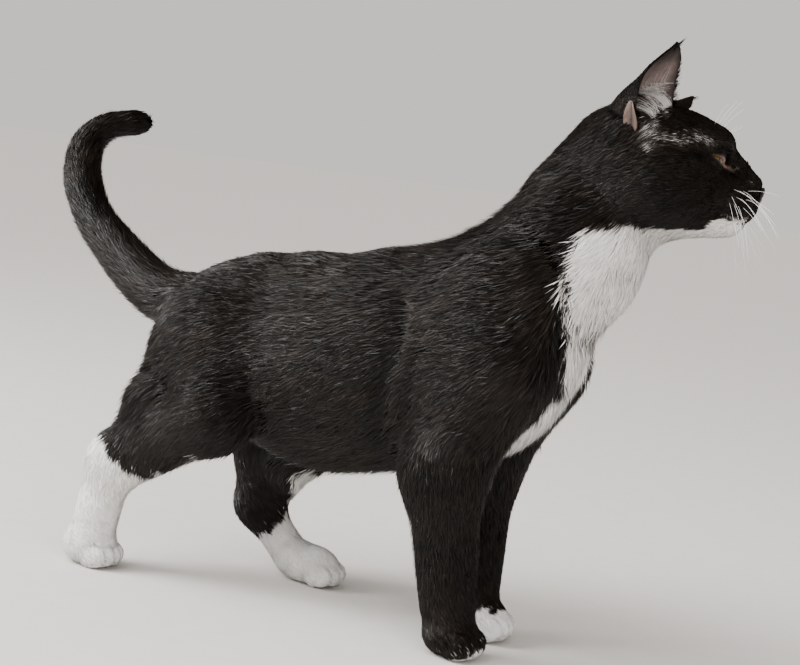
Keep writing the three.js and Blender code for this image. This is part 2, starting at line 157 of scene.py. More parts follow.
def catmull(points, t):
    """A centripetal Catmull-Rom curve through the points, at shares t of its spans."""
    points = np.asarray(points, float)
    ends = np.vstack([2 * points[0] - points[1], points, 2 * points[-1] - points[-2]])
    at = np.clip(np.asarray(t, float), 0, 1) * (len(points) - 1)
    i = np.minimum(at.astype(int), len(points) - 2)
    w = (at - i)[:, None]
    p0, p1, p2, p3 = (ends[i + k] for k in range(4))
    d0, d1, d2 = (np.maximum(length(b - a) ** 0.5, 1e-6)[:, None] for a, b in ((p0, p1), (p1, p2), (p2, p3)))
    m1 = ((p1 - p0) / d0 - (p2 - p0) / (d0 + d1) + (p2 - p1) / d1) * d1
    m2 = ((p2 - p1) / d1 - (p3 - p1) / (d1 + d2) + (p3 - p2) / d2) * d1
    return p1 + m1 * w + (3 * (p2 - p1) - 2 * m1 - m2) * w**2 + (2 * (p1 - p2) + m1 + m2) * w**3


# ------------------------------------------------------------------ shapes as distance fields
def limb(start, end, r_start, r_end, flat=1.0, soft=10.0):
    """A length of limb. flat is its breadth across the body as a share of its depth, and soft is how widely
    it blends into what it joins."""
    widen = np.array([1, 1 / flat, 1])
    a = np.asarray(start, float) * widen
    along = np.asarray(end, float) * widen - a

    def distance(p):
        rel = p * widen - a
        t = np.clip(rel @ along / (along @ along), 0, 1)
        return (length(rel - t[:, None] * along) - (r_start + (r_end - r_start) * t)) * min(1, flat)

    return distance, soft


def lump(centre, radii, pitch=0.0, yaw=0.0, soft=10.0):
    """An egg-shaped muscle or pad, its front tipped up by pitch and turned left by yaw."""
    c, r = np.asarray(centre, float), np.asarray(radii, float)
    turned = turn("Z", yaw) @ turn("Y", -pitch)

    def distance(p):
        q = (p - c) @ turned
        k0 = length(q / r)
        return k0 * (k0 - 1) / np.maximum(length(q / r**2), 1e-9)

    return distance, soft


def chain(stations, **options):
    return [limb(a, b, ra, rb, **options) for (a, ra), (b, rb) in zip(stations, stations[1:])]


def smooth_union(a, b, soft):
    h = np.maximum(soft - np.abs(a - b), 0) / soft
    return np.minimum(a, b) - h * h * soft / 4


def add_forms(d, p, forms):
    """The distance d at points p, once these forms are joined on."""
    for distance, soft in forms:
        d = smooth_union(d, distance(p), soft)
    return d


def press_forms(d, p, forms):
    """The distance d at points p, once these forms are pressed in."""
    for distance, soft in forms:
        d = -smooth_union(-d, distance(p), soft)
    return d


def blend(forms):
    return lambda p: add_forms(np.full(len(p), 1e3), p, forms)


def near_line(p, points, near, far):
    """How near each point lies to a broken line: 1 within near, 0 beyond far."""
    best = np.full(len(p), 1e3)
    for a, b in zip(points, points[1:]):
        best = np.minimum(best, limb(a, b, 0, 0)[0](p))
    return 1 - smoothstep(best, near, far)


# ------------------------------------------------------------------ the cat's forms
def torso_shapes():
    return [
        lump((-46, 0, 141), (66, 38, 54), pitch=14, soft=18),  # ribcage
        lump((-98, 0, 127), (70, 40, 54), pitch=8, soft=20),  # belly
        lump((-155, 0, 128), (45, 35, 42), pitch=14, soft=14),  # pelvis
        lump((-6, 0, 146), (36, 28, 46), pitch=-20, soft=18),  # breast
        *chain(SPINE, soft=12),
        *chain(NECK, flat=0.86, soft=16),
        *chain(NAPE, soft=12),
    ]


def toe_shapes(paw, side, reach, spread, size):
    x, y, z = paw
    return [
        lump((x + reach - 2 * abs(n), y + side * n * spread, z - 2.4),
             (size + 2, size * 0.72, size), soft=1.6)
        for n in (-1.5, -0.5, 0.5, 1.5)
    ]


def foreleg_shapes(side):
    j = {name: mirrored(side, at) for name, at in FORELEGS[side].items()}
    return [
        lump(mirrored(side, (-6, 28, 160)), (32, 13, 48), pitch=-22, soft=16),  # shoulder blade
        limb(j["shoulder"], j["elbow"], 23, 22, flat=0.72, soft=14),
        limb(j["elbow"], j["wrist"], 20, 15, flat=0.8, soft=12),
        lump(j["paw"], (15, 13, 11.2), soft=7),
        *toe_shapes(j["paw"], side, 9, 5.6, 7.4),
    ]


def hindleg_shapes(side):
    j = {name: mirrored(side, at) for name, at in HINDLEGS[side].items()}
    upright = side == RIGHT
    hock, paw = j["hock"], j["paw"]
    shin = hock + (10 if upright else 3, 0, 0)
    return [
        limb(mirrored(side, (-166, 22, 126)), j["knee"], 34, 21, flat=0.62, soft=12),
        limb(mirrored(side, (-184, 20, 122)), j["ham"], 16, 14, flat=0.8, soft=10),
        limb(j["ham"], hock, 13, 10, flat=0.7, soft=8),
        limb(j["knee"], shin, 21, 14 if upright else 11, flat=0.7, soft=10),
        limb(hock, j["ball"], 13.4 if upright else 11, 12.6 if upright else 10.5, flat=0.84, soft=8),
        lump((paw[0] - 4, paw[1], 10), (15 if upright else 18, 13, 11.2), soft=6),
        *toe_shapes(paw, side, 7 if upright else 9, 5.4, 7),
    ]


def tail_radius(t):
    return 15.5 - 5.1 * np.minimum(1, t * 2.3) - 3.6 * smoothstep(t, 0.55, 0.9)


def tail_shapes():
    t = np.linspace(0, 1, 23)
    return chain(list(zip(catmull(TAIL, t), tail_radius(t))), soft=3)


def head_shapes():
    shapes = [
        lump((-8, 0, 7), (36, 30, 27), soft=8),  # braincase
        limb((-6, 0, -6), (20, 0, -8), 26, 18, soft=10),  # face
        limb((7, 0, 13.9), (36.5, 0, -0.5), 13, 6.3, soft=8),  # bridge of the nose
        limb((-8, 0, -16), (28.5, 0, -18.5), 13, 6.3, soft=8),  # lower jaw
    ]
    for s in SIDES:
        shapes += [
            lump((-4, s * 19, -9), (22, 13, 19), soft=10),  # cheek
            lump((15, s * 15, 15.5), (11, 8, 7), soft=9),  # brow
            lump((31, s * 6.5, -9.3), (10.5, 8, 8.2), soft=6),  # whisker pad
            lump((-18, s * 17, 19), (15, 11, 10), soft=9),  # root of the ear
        ]
    return shapes


# The hollow that each ear opens into, in the skin of the head: a wide bowl, and a narrower one further in.
EAR_BOWL = [((-19.5, 21, 27.5), (10, 8.5, 8)), ((-22, 18.5, 21.5), (6, 5.5, 5.5))]
MOUTH = [(39.5, 0, -15.2), (35, 4.5, -17), (30, 8.4, -18), (23, 12.8, -20.5), (14, 16.5, -23.5)]
EYES = {s: mirrored(s, EYE_AT) for s in SIDES}


def head_details():
    """The eyelids' swell, and then what is pressed in: the sockets, and the finer hollows of mouth, lip and
    ears."""
    swells = [lump(EYES[s], [EYE_RADIUS + LID_THICK + 0.5] * 3, soft=2.2) for s in SIDES]
    sockets = [lump((24, s * 20, 6), (8, 6.5, 4.6), yaw=s * 38, soft=5) for s in SIDES]
    lips = [
        limb(mirrored(s, a), mirrored(s, b), 0.9, 0.9, soft=2.2)
        for s in SIDES for a, b in zip(MOUTH, MOUTH[1:])
    ]
    cleft = [limb((43, 0, -9.5), (40.5, 0, -15.5), 0.8, 0.8, soft=2)]
    bowls = [lump(mirrored(s, at), radii, soft=3) for s in SIDES for at, radii in EAR_BOWL]
    return swells, sockets, lips + cleft + bowls


def in_ear(p):
    """1 for points of the cat's frame in an ear's bowl, fading to 0 a little outside it."""
    h = one_side(to_head(p))
    depth = np.min([lump(at, radii)[0](h) for at, radii in EAR_BOWL], axis=0)
    return 1 - smoothstep(depth, 0.2, 1.4)


swells, sockets, creases = head_details()
head_form = blend(head_shapes())


def head_field(p):
    d = press_forms(head_form(p), p, sockets)
    return press_forms(add_forms(d, p, swells), p, creases)


FORELEG_CREASE, HINDLEG_CREASE = 9.0, 14.0  # how widely the skin of the legs blends into that of the trunk
TAIL_CREASE, NECK_CREASE = 10, 12
torso_field = blend(torso_shapes())
tail_field = blend(tail_shapes())
# Each leg's field and side, how far back and how far forward it reaches, and its crease.
leg_fields = [(blend(foreleg_shapes(s)), s, -75, 60, FORELEG_CREASE) for s in SIDES]
leg_fields += [(blend(hindleg_shapes(s)), s, -270, -75, HINDLEG_CREASE) for s in SIDES]


# The fold of skin behind each shoulder: its hollow, and the ridge before it.
FOLD_DEPTH, RIDGE_HEIGHT = 1.5, 0.7
FOLD = [(-48, 33, 168), (-45.5, 37, 153), (-49, 38, 138), (-51, 37, 122), (-53, 32, 106)]
RIDGE = [(-42.5, 33, 168), (-38, 37, 153), (-40.5, 38, 138), (-43, 37, 122), (-45.5, 32, 106)]


def shoulder_fold(p):
    """How near each point lies to the fold's hollow and to its ridge, from 0 to 1."""
    x, _, z = p.T
    near = (x > -64) & (x < -28) & (z > 92) & (z < 182)
    both = np.zeros((2, len(p)))
    if near.any():
        q = one_side(p[near])
        both[0, near], both[1, near] = near_line(q, FOLD, 0, 8), near_line(q, RIDGE, 0, 6)
    return both


def cat_field(p):
    """Distance to the outside of the whole cat, ears apart. Each form is joined only where it reaches."""
    d = torso_field(p)

    def add(field, mask, soft):
        if mask.any():
            d[mask] = smooth_union(d[mask], field(p[mask]), soft)

    x, y, z = p.T
    add(lambda q: head_field(to_head(q)), (x > -30) & (z > 170), NECK_CREASE)
    for field, side, back, front, crease in leg_fields:
        add(field, (x > back) & (x < front) & (side * y > -25) & (z < 225), crease)
    add(tail_field, x < -150, TAIL_CREASE)
    hollow, ridge = shoulder_fold(p)
    return d + FOLD_DEPTH * hollow - RIDGE_HEIGHT * ridge


def slope(p, d, step=0.05):
    return np.stack([(cat_field(p + step * axis) - d) / step for axis in np.eye(3)], axis=1)


def normals_of(p):
    return unit(slope(p, cat_field(p)))


def settle(p, level, steps, reach=2.0):
    """Moves points onto the cat's surface at a level under it, and gives them back with the normals there."""
    for _ in range(steps):
        d = cat_field(p)
        g = slope(p, d)
        off = (d + level) / np.maximum(np.einsum("ij,ij->i", g, g), 0.3)
        p = p - g * np.clip(off, -reach, reach)[:, None]
    return p, unit(g)


# ------------------------------------------------------------------ the lie of the coat
# Guides: a place, the way the hair runs there, its length, and how far its tips stand off. Those of the
# trunk and head stand for both sides. The hair at any point follows the guides near it.
TRUNK_GROOM = [
    ((8, 0, 252), (-0.75, 0, -0.66), 10, 1.0), ((-18, 0, 217), (-0.8, 0, -0.6), 12, 2.0),
    ((-42, 0, 200), (-0.97, 0, -0.25), 12, 1.5), ((-90, 0, 190), (-1, 0, 0), 11, 0.3),
    ((-150, 0, 175), (-1, 0, -0.1), 11, 0.3), ((-190, 0, 165), (-1, 0, 0.1), 12, 0.5),
    ((25, 30, 240), (-0.78, 0.1, -0.62), 10, 0.6), ((5, 32, 215), (-0.85, 0.1, -0.5), 12, 1.0),
    ((-10, 36, 190), (-0.93, 0.1, -0.35), 12, 0.6), ((36, 27, 218), (-0.7, 0.3, -0.65), 12, 2.0),
    ((27, 34, 195), (-0.9, 0.2, -0.4), 14, 2.2), ((27, 32, 178), (-0.5, 0.3, -0.85), 13, 2.0),
    ((34, 18, 158), (-0.1, 0.3, -1), 12, 1.5), ((30, 16, 135), (0, 0.25, -1), 11, 1.5),
    ((18, 14, 112), (0.05, 0.1, -1), 10, 1.5), ((52, 5, 216), (-0.4, 0, -0.9), 11, 1.0),
    ((44, 0, 190), (0, 0, -1), 13, 1.2), ((38, 0, 165), (0.12, 0, -1), 13, 2.5),
    ((31, 0, 138), (0.1, 0, -1), 12, 2.5), ((8, 0, 105), (-0.5, 0, -0.86), 11, 2.0),
    ((0, 38, 168), (-0.93, 0, -0.37), 11, 0.2), ((-22, 38, 150), (-0.91, 0, -0.42), 11, 0.2),
    ((12, 34, 142), (-0.7, 0, -0.7), 10, 0.2), ((-5, 37, 120), (-0.72, 0, -0.7), 10, 0.2),
    ((-48, 38, 160), (-0.86, 0, -0.5), 11, 0.2), ((-50, 38, 125), (-0.75, 0, -0.66), 11, 0.4),
    ((-45, 34, 98), (-0.8, 0, -0.6), 11, 1.0), ((-80, 40, 155), (-0.93, 0, -0.37), 11, 0.2),
    ((-80, 40, 120), (-0.84, 0, -0.54), 11, 0.2), ((-75, 34, 92), (-0.85, 0, -0.52), 12, 1.2),
    ((-112, 40, 150), (-0.95, 0, -0.3), 11, 0.2), ((-112, 40, 115), (-0.9, 0, -0.43), 11, 0.3),
    ((-110, 25, 82), (-0.93, 0, -0.37), 13, 2.0), ((-60, 0, 82), (-0.97, 0, -0.2), 12, 2.5),
    ((-95, 0, 76), (-1, 0, -0.1), 13, 3.0), ((-132, 0, 78), (-0.95, 0, -0.3), 13, 3.0),
    ((-134, 36, 112), (-0.88, 0, -0.48), 12, 0.5), ((-160, 36, 148), (-0.92, 0, -0.38), 11, 0.2),
    ((-165, 38, 120), (-0.75, 0, -0.66), 11, 0.3), ((-182, 34, 104), (-0.8, 0, -0.6), 12, 1.0),
    ((-197, 20, 130), (-0.6, 0, -0.8), 13, 2.5), ((-205, 26, 105), (-0.65, 0, -0.76), 13, 4.0),
    ((-196, 6, 130), (-0.3, 0.2, -0.93), 11, 1.5),
]
HEAD_GROOM = [
    ((40, 0, 3), (-0.7, 0, 0.7), 1.8, 0), ((30, 0, 18), (-0.75, 0, 0.66), 2.6, 0),
    ((15, 0, 30), (-1, 0, 0.3), 4.5, 0.2), ((-15, 0, 34), (-1, 0, -0.05), 6, 0.4),
    ((-38, 0, 15), (-0.7, 0, -0.7), 8, 0.5), ((18, 16, 22), (-0.85, 0.35, 0.25), 3.6, 0.3),
    ((4, 20, 20), (-0.95, 0.25, 0), 5, 0.3), ((30, 9, 4), (-0.8, 0.45, 0.2), 1.8, 0),
    ((24, 15, -3), (-0.95, 0.3, -0.1), 2.6, 0), ((13, 24, 6), (-1, 0.25, 0.1), 3.6, 0.1),
    ((10, 22, -8), (-1, 0.2, -0.15), 4.5, 0.1), ((-4, 31, -6), (-1, 0.1, -0.2), 6, 0.3),
    ((-20, 28, -4), (-0.9, 0, -0.45), 7, 0.5), ((-6, 26, -24), (-0.93, 0, -0.35), 5.5, 0.6),
    ((20, 10, -22), (-1, 0.1, -0.15), 4, 0.3), ((8, 10, -27), (-1, 0, -0.1), 5, 0.6),
    ((-12, 5, -32), (-0.9, 0, -0.4), 6.5, 0.7), ((38, 0, -18), (-0.6, 0, -0.8), 3, 0.4),
    ((33, 0, -25), (-0.95, 0, -0.25), 4, 0.5), ((38, 8, -8), (-0.65, 0.7, -0.3), 2, 0),
    ((43, 3, -11), (-0.2, 0.6, -0.7), 1.5, 0), ((0, 22, 28), (-0.4, 0.3, -0.85), 5, 0.3),
    ((-32, 20, 22), (-0.75, 0.2, -0.6), 7, 0.4), ((-20, 30, 10), (-0.6, 0.1, -0.8), 7, 0.4),
]
NEAR_GUIDE = 14.0  # the distance within which one guide rules


def leg_groom(side):
    fore = {name: mirrored(side, at) for name, at in FORELEGS[side].items()}
    hind = {name: mirrored(side, at) for name, at in HINDLEGS[side].items()}
    out = np.array([0, side * 9.0, 0])
    rows = []
    for joints, names, hairs in (
        (fore, ("elbow", "wrist", "paw"), (8, 5.5, 4)),
        (hind, ("ham", "hock", "ball"), (11, 6, 4)),
    ):
        ways = [joints[b] - joints[a] for a, b in zip(names, names[1:])]
        ways.append(np.array([10, 0, -6]))
        for name, way, hair in zip(names, ways, hairs):
            rows += [(joints[name] + out * k, way, hair, 0.4) for k in (1, -1)]
    middle = (fore["elbow"] + fore["wrist"]) / 2
    rows += [(middle + out * k, fore["wrist"] - fore["elbow"], 7, 0.4) for k in (1, -1)]
    rows.append((middle + (-16, 0, 0), fore["wrist"] - fore["elbow"], 9, 1.8))
    rows.append((hind["knee"] + out, hind["hock"] - hind["knee"], 9, 0.5))
    for paw in (fore["paw"], hind["paw"]):
        rows.append((paw + (12, 0, 0), np.array([9, 0, -6]), 3, 0.1))
    return rows


def groom_guides():
    rows = [(mirrored(s, at), mirrored(s, way), hair, stand)
            for at, way, hair, stand in TRUNK_GROOM for s in SIDES]
    rows += [(from_head(mirrored(s, at)), HEAD_TURN @ mirrored(s, way), hair, stand)
             for at, way, hair, stand in HEAD_GROOM for s in SIDES]
    rows += [row for s in SIDES for row in leg_groom(s)]
    t = np.linspace(0.04, 1, 16)
    middles, ahead = catmull(TAIL, t), catmull(TAIL, t + 0.01) - catmull(TAIL, t - 0.01)
    rows += [(at, way, 12 - 4.5 * k, 1.6 - 1.1 * k) for at, way, k in zip(middles, ahead, t)]
    at, way, hair, stand = (np.array(column, float) for column in zip(*rows))
    return at, unit(way), hair, stand


GUIDES = groom_guides()


def groom(p, normals=None):
    """The way the hair runs, its length and how far it stands off, at each point."""
    at, way, hair, stand = GUIDES
    near = (p * p).sum(1)[:, None] - 2 * p @ at.T + (at * at).sum(1)
    w = 1 / (np.maximum(near, 0) + NEAR_GUIDE**2) ** 2.5
    w /= w.sum(1, keepdims=True)
    flow = w @ way
    if normals is not None:
        flow = flow - normals * (flow * normals).sum(1, keepdims=True)
    return unit(flow), w @ hair, w @ stand


def depth_of(hair):
    """How far the skin lies under the outside of the coat."""
    return 0.2 + 0.19 * hair


# ------------------------------------------------------------------ markings
def table(x, pairs):
    at, value = zip(*pairs)
    return np.interp(x, at, value)


def waves(p, size, seed, count=9):
    """A smooth random pattern between about -1 and 1, with features of about this size."""
    draw = np.random.default_rng(seed)
    k = unit(draw.normal(size=(count, 3))) * draw.uniform(0.6, 1.5, (count, 1)) * 2 * math.pi / size
    return np.sin(p @ k.T + draw.uniform(0, 2 * math.pi, count)).sum(1) / count**0.5


# The white bib's half angle in degrees round the front of neck and breast, by height, right and left.
BIB = {
    RIGHT: [(96, 32), (114, 28), (130, 20), (143, 6), (159, 17), (173, 26), (180, 40), (187, 51), (197, 56),
            (207, 64), (220, 66), (232, 60)],
    LEFT: [(96, 32), (114, 30), (130, 26), (143, 32), (159, 38), (173, 44), (180, 51), (187, 58), (197, 60),
           (207, 64), (220, 66), (232, 60)],
}
# The middle of breast and neck by height: how far forward and how far left it lies.
NECK_LINE = [(96, -14), (130, -8), (146, -6), (175, -3), (203, 18), (236, 34)]
NECK_LEAN = [(175, 0), (203, 3), (236, 7)]
# The height in the head's frame below which chin and throat are white, by distance along the head.
THROAT = [(-50, -40), (-35, -35.5), (-18, -35.8), (-8, -32.8), (1, -29.4), (10, -27.3), (18, -25.2),
          (25, -20.5), (36, -18.6), (45, -17.5)]
# The height below which the hind legs are white, by distance along the cat.
SOCKS = {
    RIGHT: [(-228, 80), (-209, 69.5), (-201, 62.5), (-195, 59), (-188, 58), (-177, 61), (-165, 66.5),
            (-152, 73.5), (-140, 70)],
    LEFT: [(-180, 12), (-165, 22), (-149, 26), (-143.6, 40), (-140, 52), (-134, 62), (-125, 68)],
}


FAR_OUT = -20.0  # a margin deep in the black, where a marking doesn't reach
GROIN, GROIN_REACH = (-128, 2, 66), 20


def white_margin(p):
    """How far inside the white each point is, in millimetres; it is black where this is under 0."""
    x, y, z = p.T
    h = to_head(p)
    mid_x, mid_y = table(z, NECK_LINE), table(z, NECK_LEAN)
    angle = np.degrees(np.arctan2(y - mid_y, x - mid_x))
    half = np.where(angle < 0, table(z, BIB[RIGHT]), table(z, BIB[LEFT]))
    bib = np.radians(half - np.abs(angle)) * np.hypot(x - mid_x, y - mid_y)
    bib = np.minimum(bib, z - 88)
    throat = np.minimum(table(h[:, 0], THROAT) - h[:, 2], np.radians(75 - np.abs(angle)) * 30)
    up = smoothstep(z, 214, 226)  # where the bib gives way to the throat
    margin = np.where(x < -40, FAR_OUT, bib * (1 - up) + throat * up)
    right_toes = np.where((y < 0) & (x > -26), 4.5 - z + 0.33 * (x - 4), FAR_OUT)
    left_toes = np.where((y > 0) & (x > -32), 16.5 - z + 0.12 * (x + 9), FAR_OUT)
    toes = np.maximum(right_toes, left_toes)
    margin = np.maximum(margin, np.where((x < 40) & (z < 40), toes, FAR_OUT))
    for side in SIDES:
        sock = (table(x, SOCKS[side]) - z) * 0.75
        margin = np.maximum(margin, np.where((side * y > 6) & (x < -100) & (z < 82), sock, FAR_OUT))
    groin = GROIN_REACH - length((p - GROIN) / (1, 0.8, 0.8))
    return np.maximum(margin, np.where(x < -60, groin, FAR_OUT))


def whiteness(p):
    return white_margin(p) + 1.3 * waves(p, 9, 3) + 0.7 * waves(p, 3.5, 4)


# ------------------------------------------------------------------ meshes
def new_object(name, data):
    thing = bpy.data.objects.new(name, data)
    bpy.context.scene.collection.objects.link(thing)
    return thing


def add_values(mesh, name, values):
    mesh.attributes.new(name, "FLOAT", "POINT").data.foreach_set("value", np.asarray(values, np.float32))


def make_piece(name, points, faces, materials=(), values=None, uv=None, face_material=None, up=None):
    """A smooth mesh of triangles, given in the cat's frame, as a piece of the finished cat. up gives it
    normals other than its own."""
    mesh = bpy.data.meshes.new(name)
    mesh.vertices.add(len(points))
    mesh.vertices.foreach_set("co", to_frame(points).astype(np.float32).ravel())
    mesh.loops.add(faces.size)
    mesh.loops.foreach_set("vertex_index", faces.astype(np.int32).ravel())
    mesh.polygons.add(len(faces))
    mesh.polygons.foreach_set("loop_start", np.arange(0, faces.size, 3, dtype=np.int32))
    mesh.update(calc_edges=True)
    mesh.shade_smooth()
    for key, value in (values or {}).items():
        add_values(mesh, key, value)
    if uv is not None:
        layer = mesh.uv_layers.new(name="OFBake")
        layer.uv.foreach_set("vector", uv[faces.ravel()].astype(np.float32).ravel())
    if up is not None:
        mesh.normals_split_custom_set_from_vertices(up.astype(np.float32))
    for material in materials:
        mesh.materials.append(material)
    if face_material is not None:
        mesh.polygons.foreach_set("material_index", face_material.astype(np.int32))
    piece = new_object(name, mesh)
    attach(piece, "root")
    return piece


def triangles_of(mesh):
    mesh.calc_loop_triangles()
    faces = np.empty(len(mesh.loop_triangles) * 3, np.int32)
    mesh.loop_triangles.foreach_get("vertices", faces)
    points = np.empty(len(mesh.vertices) * 3, np.float32)
    mesh.vertices.foreach_get("co", points)
    return points.reshape(-1, 3), faces.reshape(-1, 3)


def grid_faces(rows, columns, closed=False):
    """Triangles of a grid of rows x columns points, its last column joined to its first if closed."""
    wrap = columns if closed else columns - 1
    i, j = np.meshgrid(np.arange(rows - 1), np.arange(wrap), indexing="ij")
    a, b = i * columns + j, i * columns + (j + 1) % columns
    c, d = a + columns, b + columns
    return np.stack([a, b, d, a, d, c], axis=-1).reshape(-1, 3)


# ------------------------------------------------------------------ the skin of the body
VOXEL = 1.7
FINE_FACE, FINE_HEIGHT = 4.0, 205  # ahead of the one in the head's frame and over the other, edges are halved
WELD = 0.02  # vertices nearer than this become one
CUT_FILL = 0.35  # how far each node's faces move out, to close the thin cuts between nodes
SKIN_LOWEST, TUFT_LOWEST = 0.3, 0.15  # heights over the floor


def flesh_surface():
    """The frame's nodes of flesh run together into one even closed mesh, its face finer than the rest."""
    bm = bmesh.new()
    for name in FLESH + ["nose", "right_eye", "left_eye"]:
        bm.from_mesh(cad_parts[name].data)
    bmesh.ops.remove_doubles(bm, verts=bm.verts, dist=WELD * MM)
    bm.normal_update()
    for v in bm.verts:
        v.co += v.normal * CUT_FILL * MM
    mesh = bpy.data.meshes.new("flesh")
    bm.to_mesh(mesh)
    bm.free()
    whole = new_object("flesh", mesh)
    remesh = whole.modifiers.new("even", "REMESH")
    remesh.mode, remesh.voxel_size = "VOXEL", VOXEL * MM
    even = whole.evaluated_get(bpy.context.evaluated_depsgraph_get()).to_mesh()
    bm = bmesh.new()
    bm.from_mesh(even)
    bpy.data.objects.remove(whole)
    points = from_frame([v.co for v in bm.verts])
    fine = (to_head(points)[:, 0] > FINE_FACE) & (points[:, 2] > FINE_HEIGHT)
    edges = [e for e in bm.edges if fine[e.verts[0].index] and fine[e.verts[1].index]]
    bmesh.ops.subdivide_edges(bm, edges=edges, cuts=1, use_grid_fill=True)
    bmesh.ops.triangulate(bm, faces=bm.faces)
    refined = bpy.data.meshes.new("refined")
    bm.to_mesh(refined)
    bm.free()
    return refined


def relax(points, faces, share=0.5):
    """Moves each point a share of the way to the middle of its neighbours."""
    a = np.concatenate([faces[:, 0], faces[:, 1], faces[:, 2]])
    b = np.concatenate([faces[:, 1], faces[:, 2], faces[:, 0]])
    count = np.bincount(a, minlength=len(points)) + 1e-9
    middle = np.stack([np.bincount(a, points[b, k], len(points)) / count for k in range(3)], axis=1)
    return points + share * (middle - points)


def skin_of_body():
    """The flesh's mesh settled at its depth under the coat, and evened out between rounds."""
    points, faces = triangles_of(flesh_surface())
    points = from_frame(points)
    for turn_no, steps in enumerate((3, 1, 1)):
        if turn_no:
            points = relax(points, faces)
        points, _ = settle(points, depth_of(groom(points)[1]), steps)
    points[:, 2] = np.maximum(points[:, 2], SKIN_LOWEST)
    return points, faces


# ------------------------------------------------------------------ materials
def new_material(name, **sockets):
    material = bpy.data.materials.new(name)
    material.use_nodes = True
    shader = material.node_tree.nodes["Principled BSDF"]
    for key, value in sockets.items():
        shader.inputs[key.replace("_", " ")].default_value = value
    return material, Nodes(material.node_tree, shader)


class Nodes:
    """Short ways to add nodes to one material."""

    def __init__(self, tree, shader):
        self.tree, self.shader = tree, shader

    def add(self, kind, **settings):
        node = self.tree.nodes.new(kind)
        for key, value in settings.items():
            setattr(node, key, value)
        return node

    def link(self, out, into):
        self.tree.links.new(out, into)

    def attribute(self, name):
        return self.add("ShaderNodeAttribute", attribute_name=name).outputs["Fac"]

    def place(self):
        return self.add("ShaderNodeTexCoord").outputs["Object"]

    def noise(self, scale, detail=3.0, roughness=0.55, at=None):
        node = self.add("ShaderNodeTexNoise")
        self.link(at or self.place(), node.inputs["Vector"])
        for key, value in (("Scale", scale), ("Detail", detail), ("Roughness", roughness)):
            node.inputs[key].default_value = value
        return node.outputs["Fac"]

    def ramp(self, factor, stops):
        node = self.add("ShaderNodeValToRGB")
        ramp = node.color_ramp
        while len(ramp.elements) < len(stops):
            ramp.elements.new(0.5)
        for element, (at, colour) in zip(ramp.elements, stops):
            element.position, element.color = at, (*colour, 1)
        self.link(factor, node.inputs["Fac"])
        return node.outputs["Color"]

    def mottle(self, scale, dark, light, stops=(0.3, 0.7)):
        return self.ramp(self.noise(scale), list(zip(stops, (dark, light))))

    def mix(self, factor, a, b):
        node = self.add("ShaderNodeMix", data_type="RGBA")
        for socket, value in ((node.inputs[0], factor), (node.inputs[6], a), (node.inputs[7], b)):
            if isinstance(value, bpy.types.NodeSocket):
                self.link(value, socket)
            else:
                socket.default_value = value if isinstance(value, (int, float)) else (*value, 1)
        return node.outputs[2]

    def range(self, value, low, high, to_low=0.0, to_high=1.0):
        node = self.add("ShaderNodeMapRange")
        self.link(value, node.inputs["Value"])
        for key, number in zip(("From Min", "From Max", "To Min", "To Max"), (low, high, to_low, to_high)):
            node.inputs[key].default_value = number
        return node.outputs["Result"]

    def bump(self, height, strength, distance):
        node = self.add("ShaderNodeBump")
        self.link(height, node.inputs["Height"])
        node.inputs["Strength"].default_value, node.inputs["Distance"].default_value = strength, distance
        self.link(node.outputs["Normal"], self.shader.inputs["Normal"])

    def paint(self, colour):
        self.link(colour, self.shader.inputs["Base Color"])


# The colours of hair by its shade, from 0 to 1. Silver hair and the painted sheen on thin hair take the upper
# end of BLACK.
BLACK = [(0.0, (0.004, 0.0033, 0.003)), (0.4, (0.0095, 0.0072, 0.0056)), (0.7, (0.027, 0.019, 0.0135)),
         (0.86, (0.10, 0.092, 0.086)), (1.0, (0.42, 0.40, 0.39))]
WHITE = [(0.0, (0.66, 0.64, 0.61)), (0.5, (0.82, 0.80, 0.78)), (1.0, (0.91, 0.90, 0.88))]


def hair_material(name, stops, roughness, specular):
    """Hair in strands: each has its own shade, and the whole drifts a little from place to place."""
    material, n = new_material(name, Roughness=roughness, Specular_IOR_Level=specular)
    drift = n.range(n.noise(28), 0.3, 0.7, -0.08, 0.08)
    add = n.add("ShaderNodeMath", operation="ADD", use_clamp=True)
    n.link(n.attribute("shade"), add.inputs[0])
    n.link(drift, add.inputs[1])
    n.paint(n.ramp(add.outputs[0], stops))
    return material


def black_hair():
    return hair_material("black hair", BLACK, 0.4, 0.45)


def white_hair():
    return hair_material("white hair", WHITE, 0.6, 0.3)


def skin_material():
    """The skin under the coat: dark under black hair and pink under white."""
    material, n = new_material("skin under the coat", Roughness=0.6, Specular_IOR_Level=0.3)
    dark = n.mottle(160, (0.006, 0.005, 0.0045), (0.014, 0.011, 0.009))
    pale = n.mottle(160, (0.52, 0.46, 0.42), (0.70, 0.66, 0.62))
    n.paint(n.mix(n.attribute("white"), dark, pale))
    n.bump(n.noise(900, 2), 0.5, 0.0004)
    return material


def lid_material():
    """Bare skin round the eye: dark on the lids' edges, pinkish brown at the inner corner."""
    material, n = new_material("bare lid skin", Roughness=0.34, Specular_IOR_Level=0.5)
    dark = n.mottle(500, (0.008, 0.006, 0.005), (0.022, 0.015, 0.012))
    pink = n.mottle(900, (0.15, 0.09, 0.07), (0.38, 0.27, 0.23), (0.25, 0.75))
    n.paint(n.mix(n.attribute("pink"), dark, pink))
    n.bump(n.noise(1500, 3), 0.35, 0.0003)
    return material


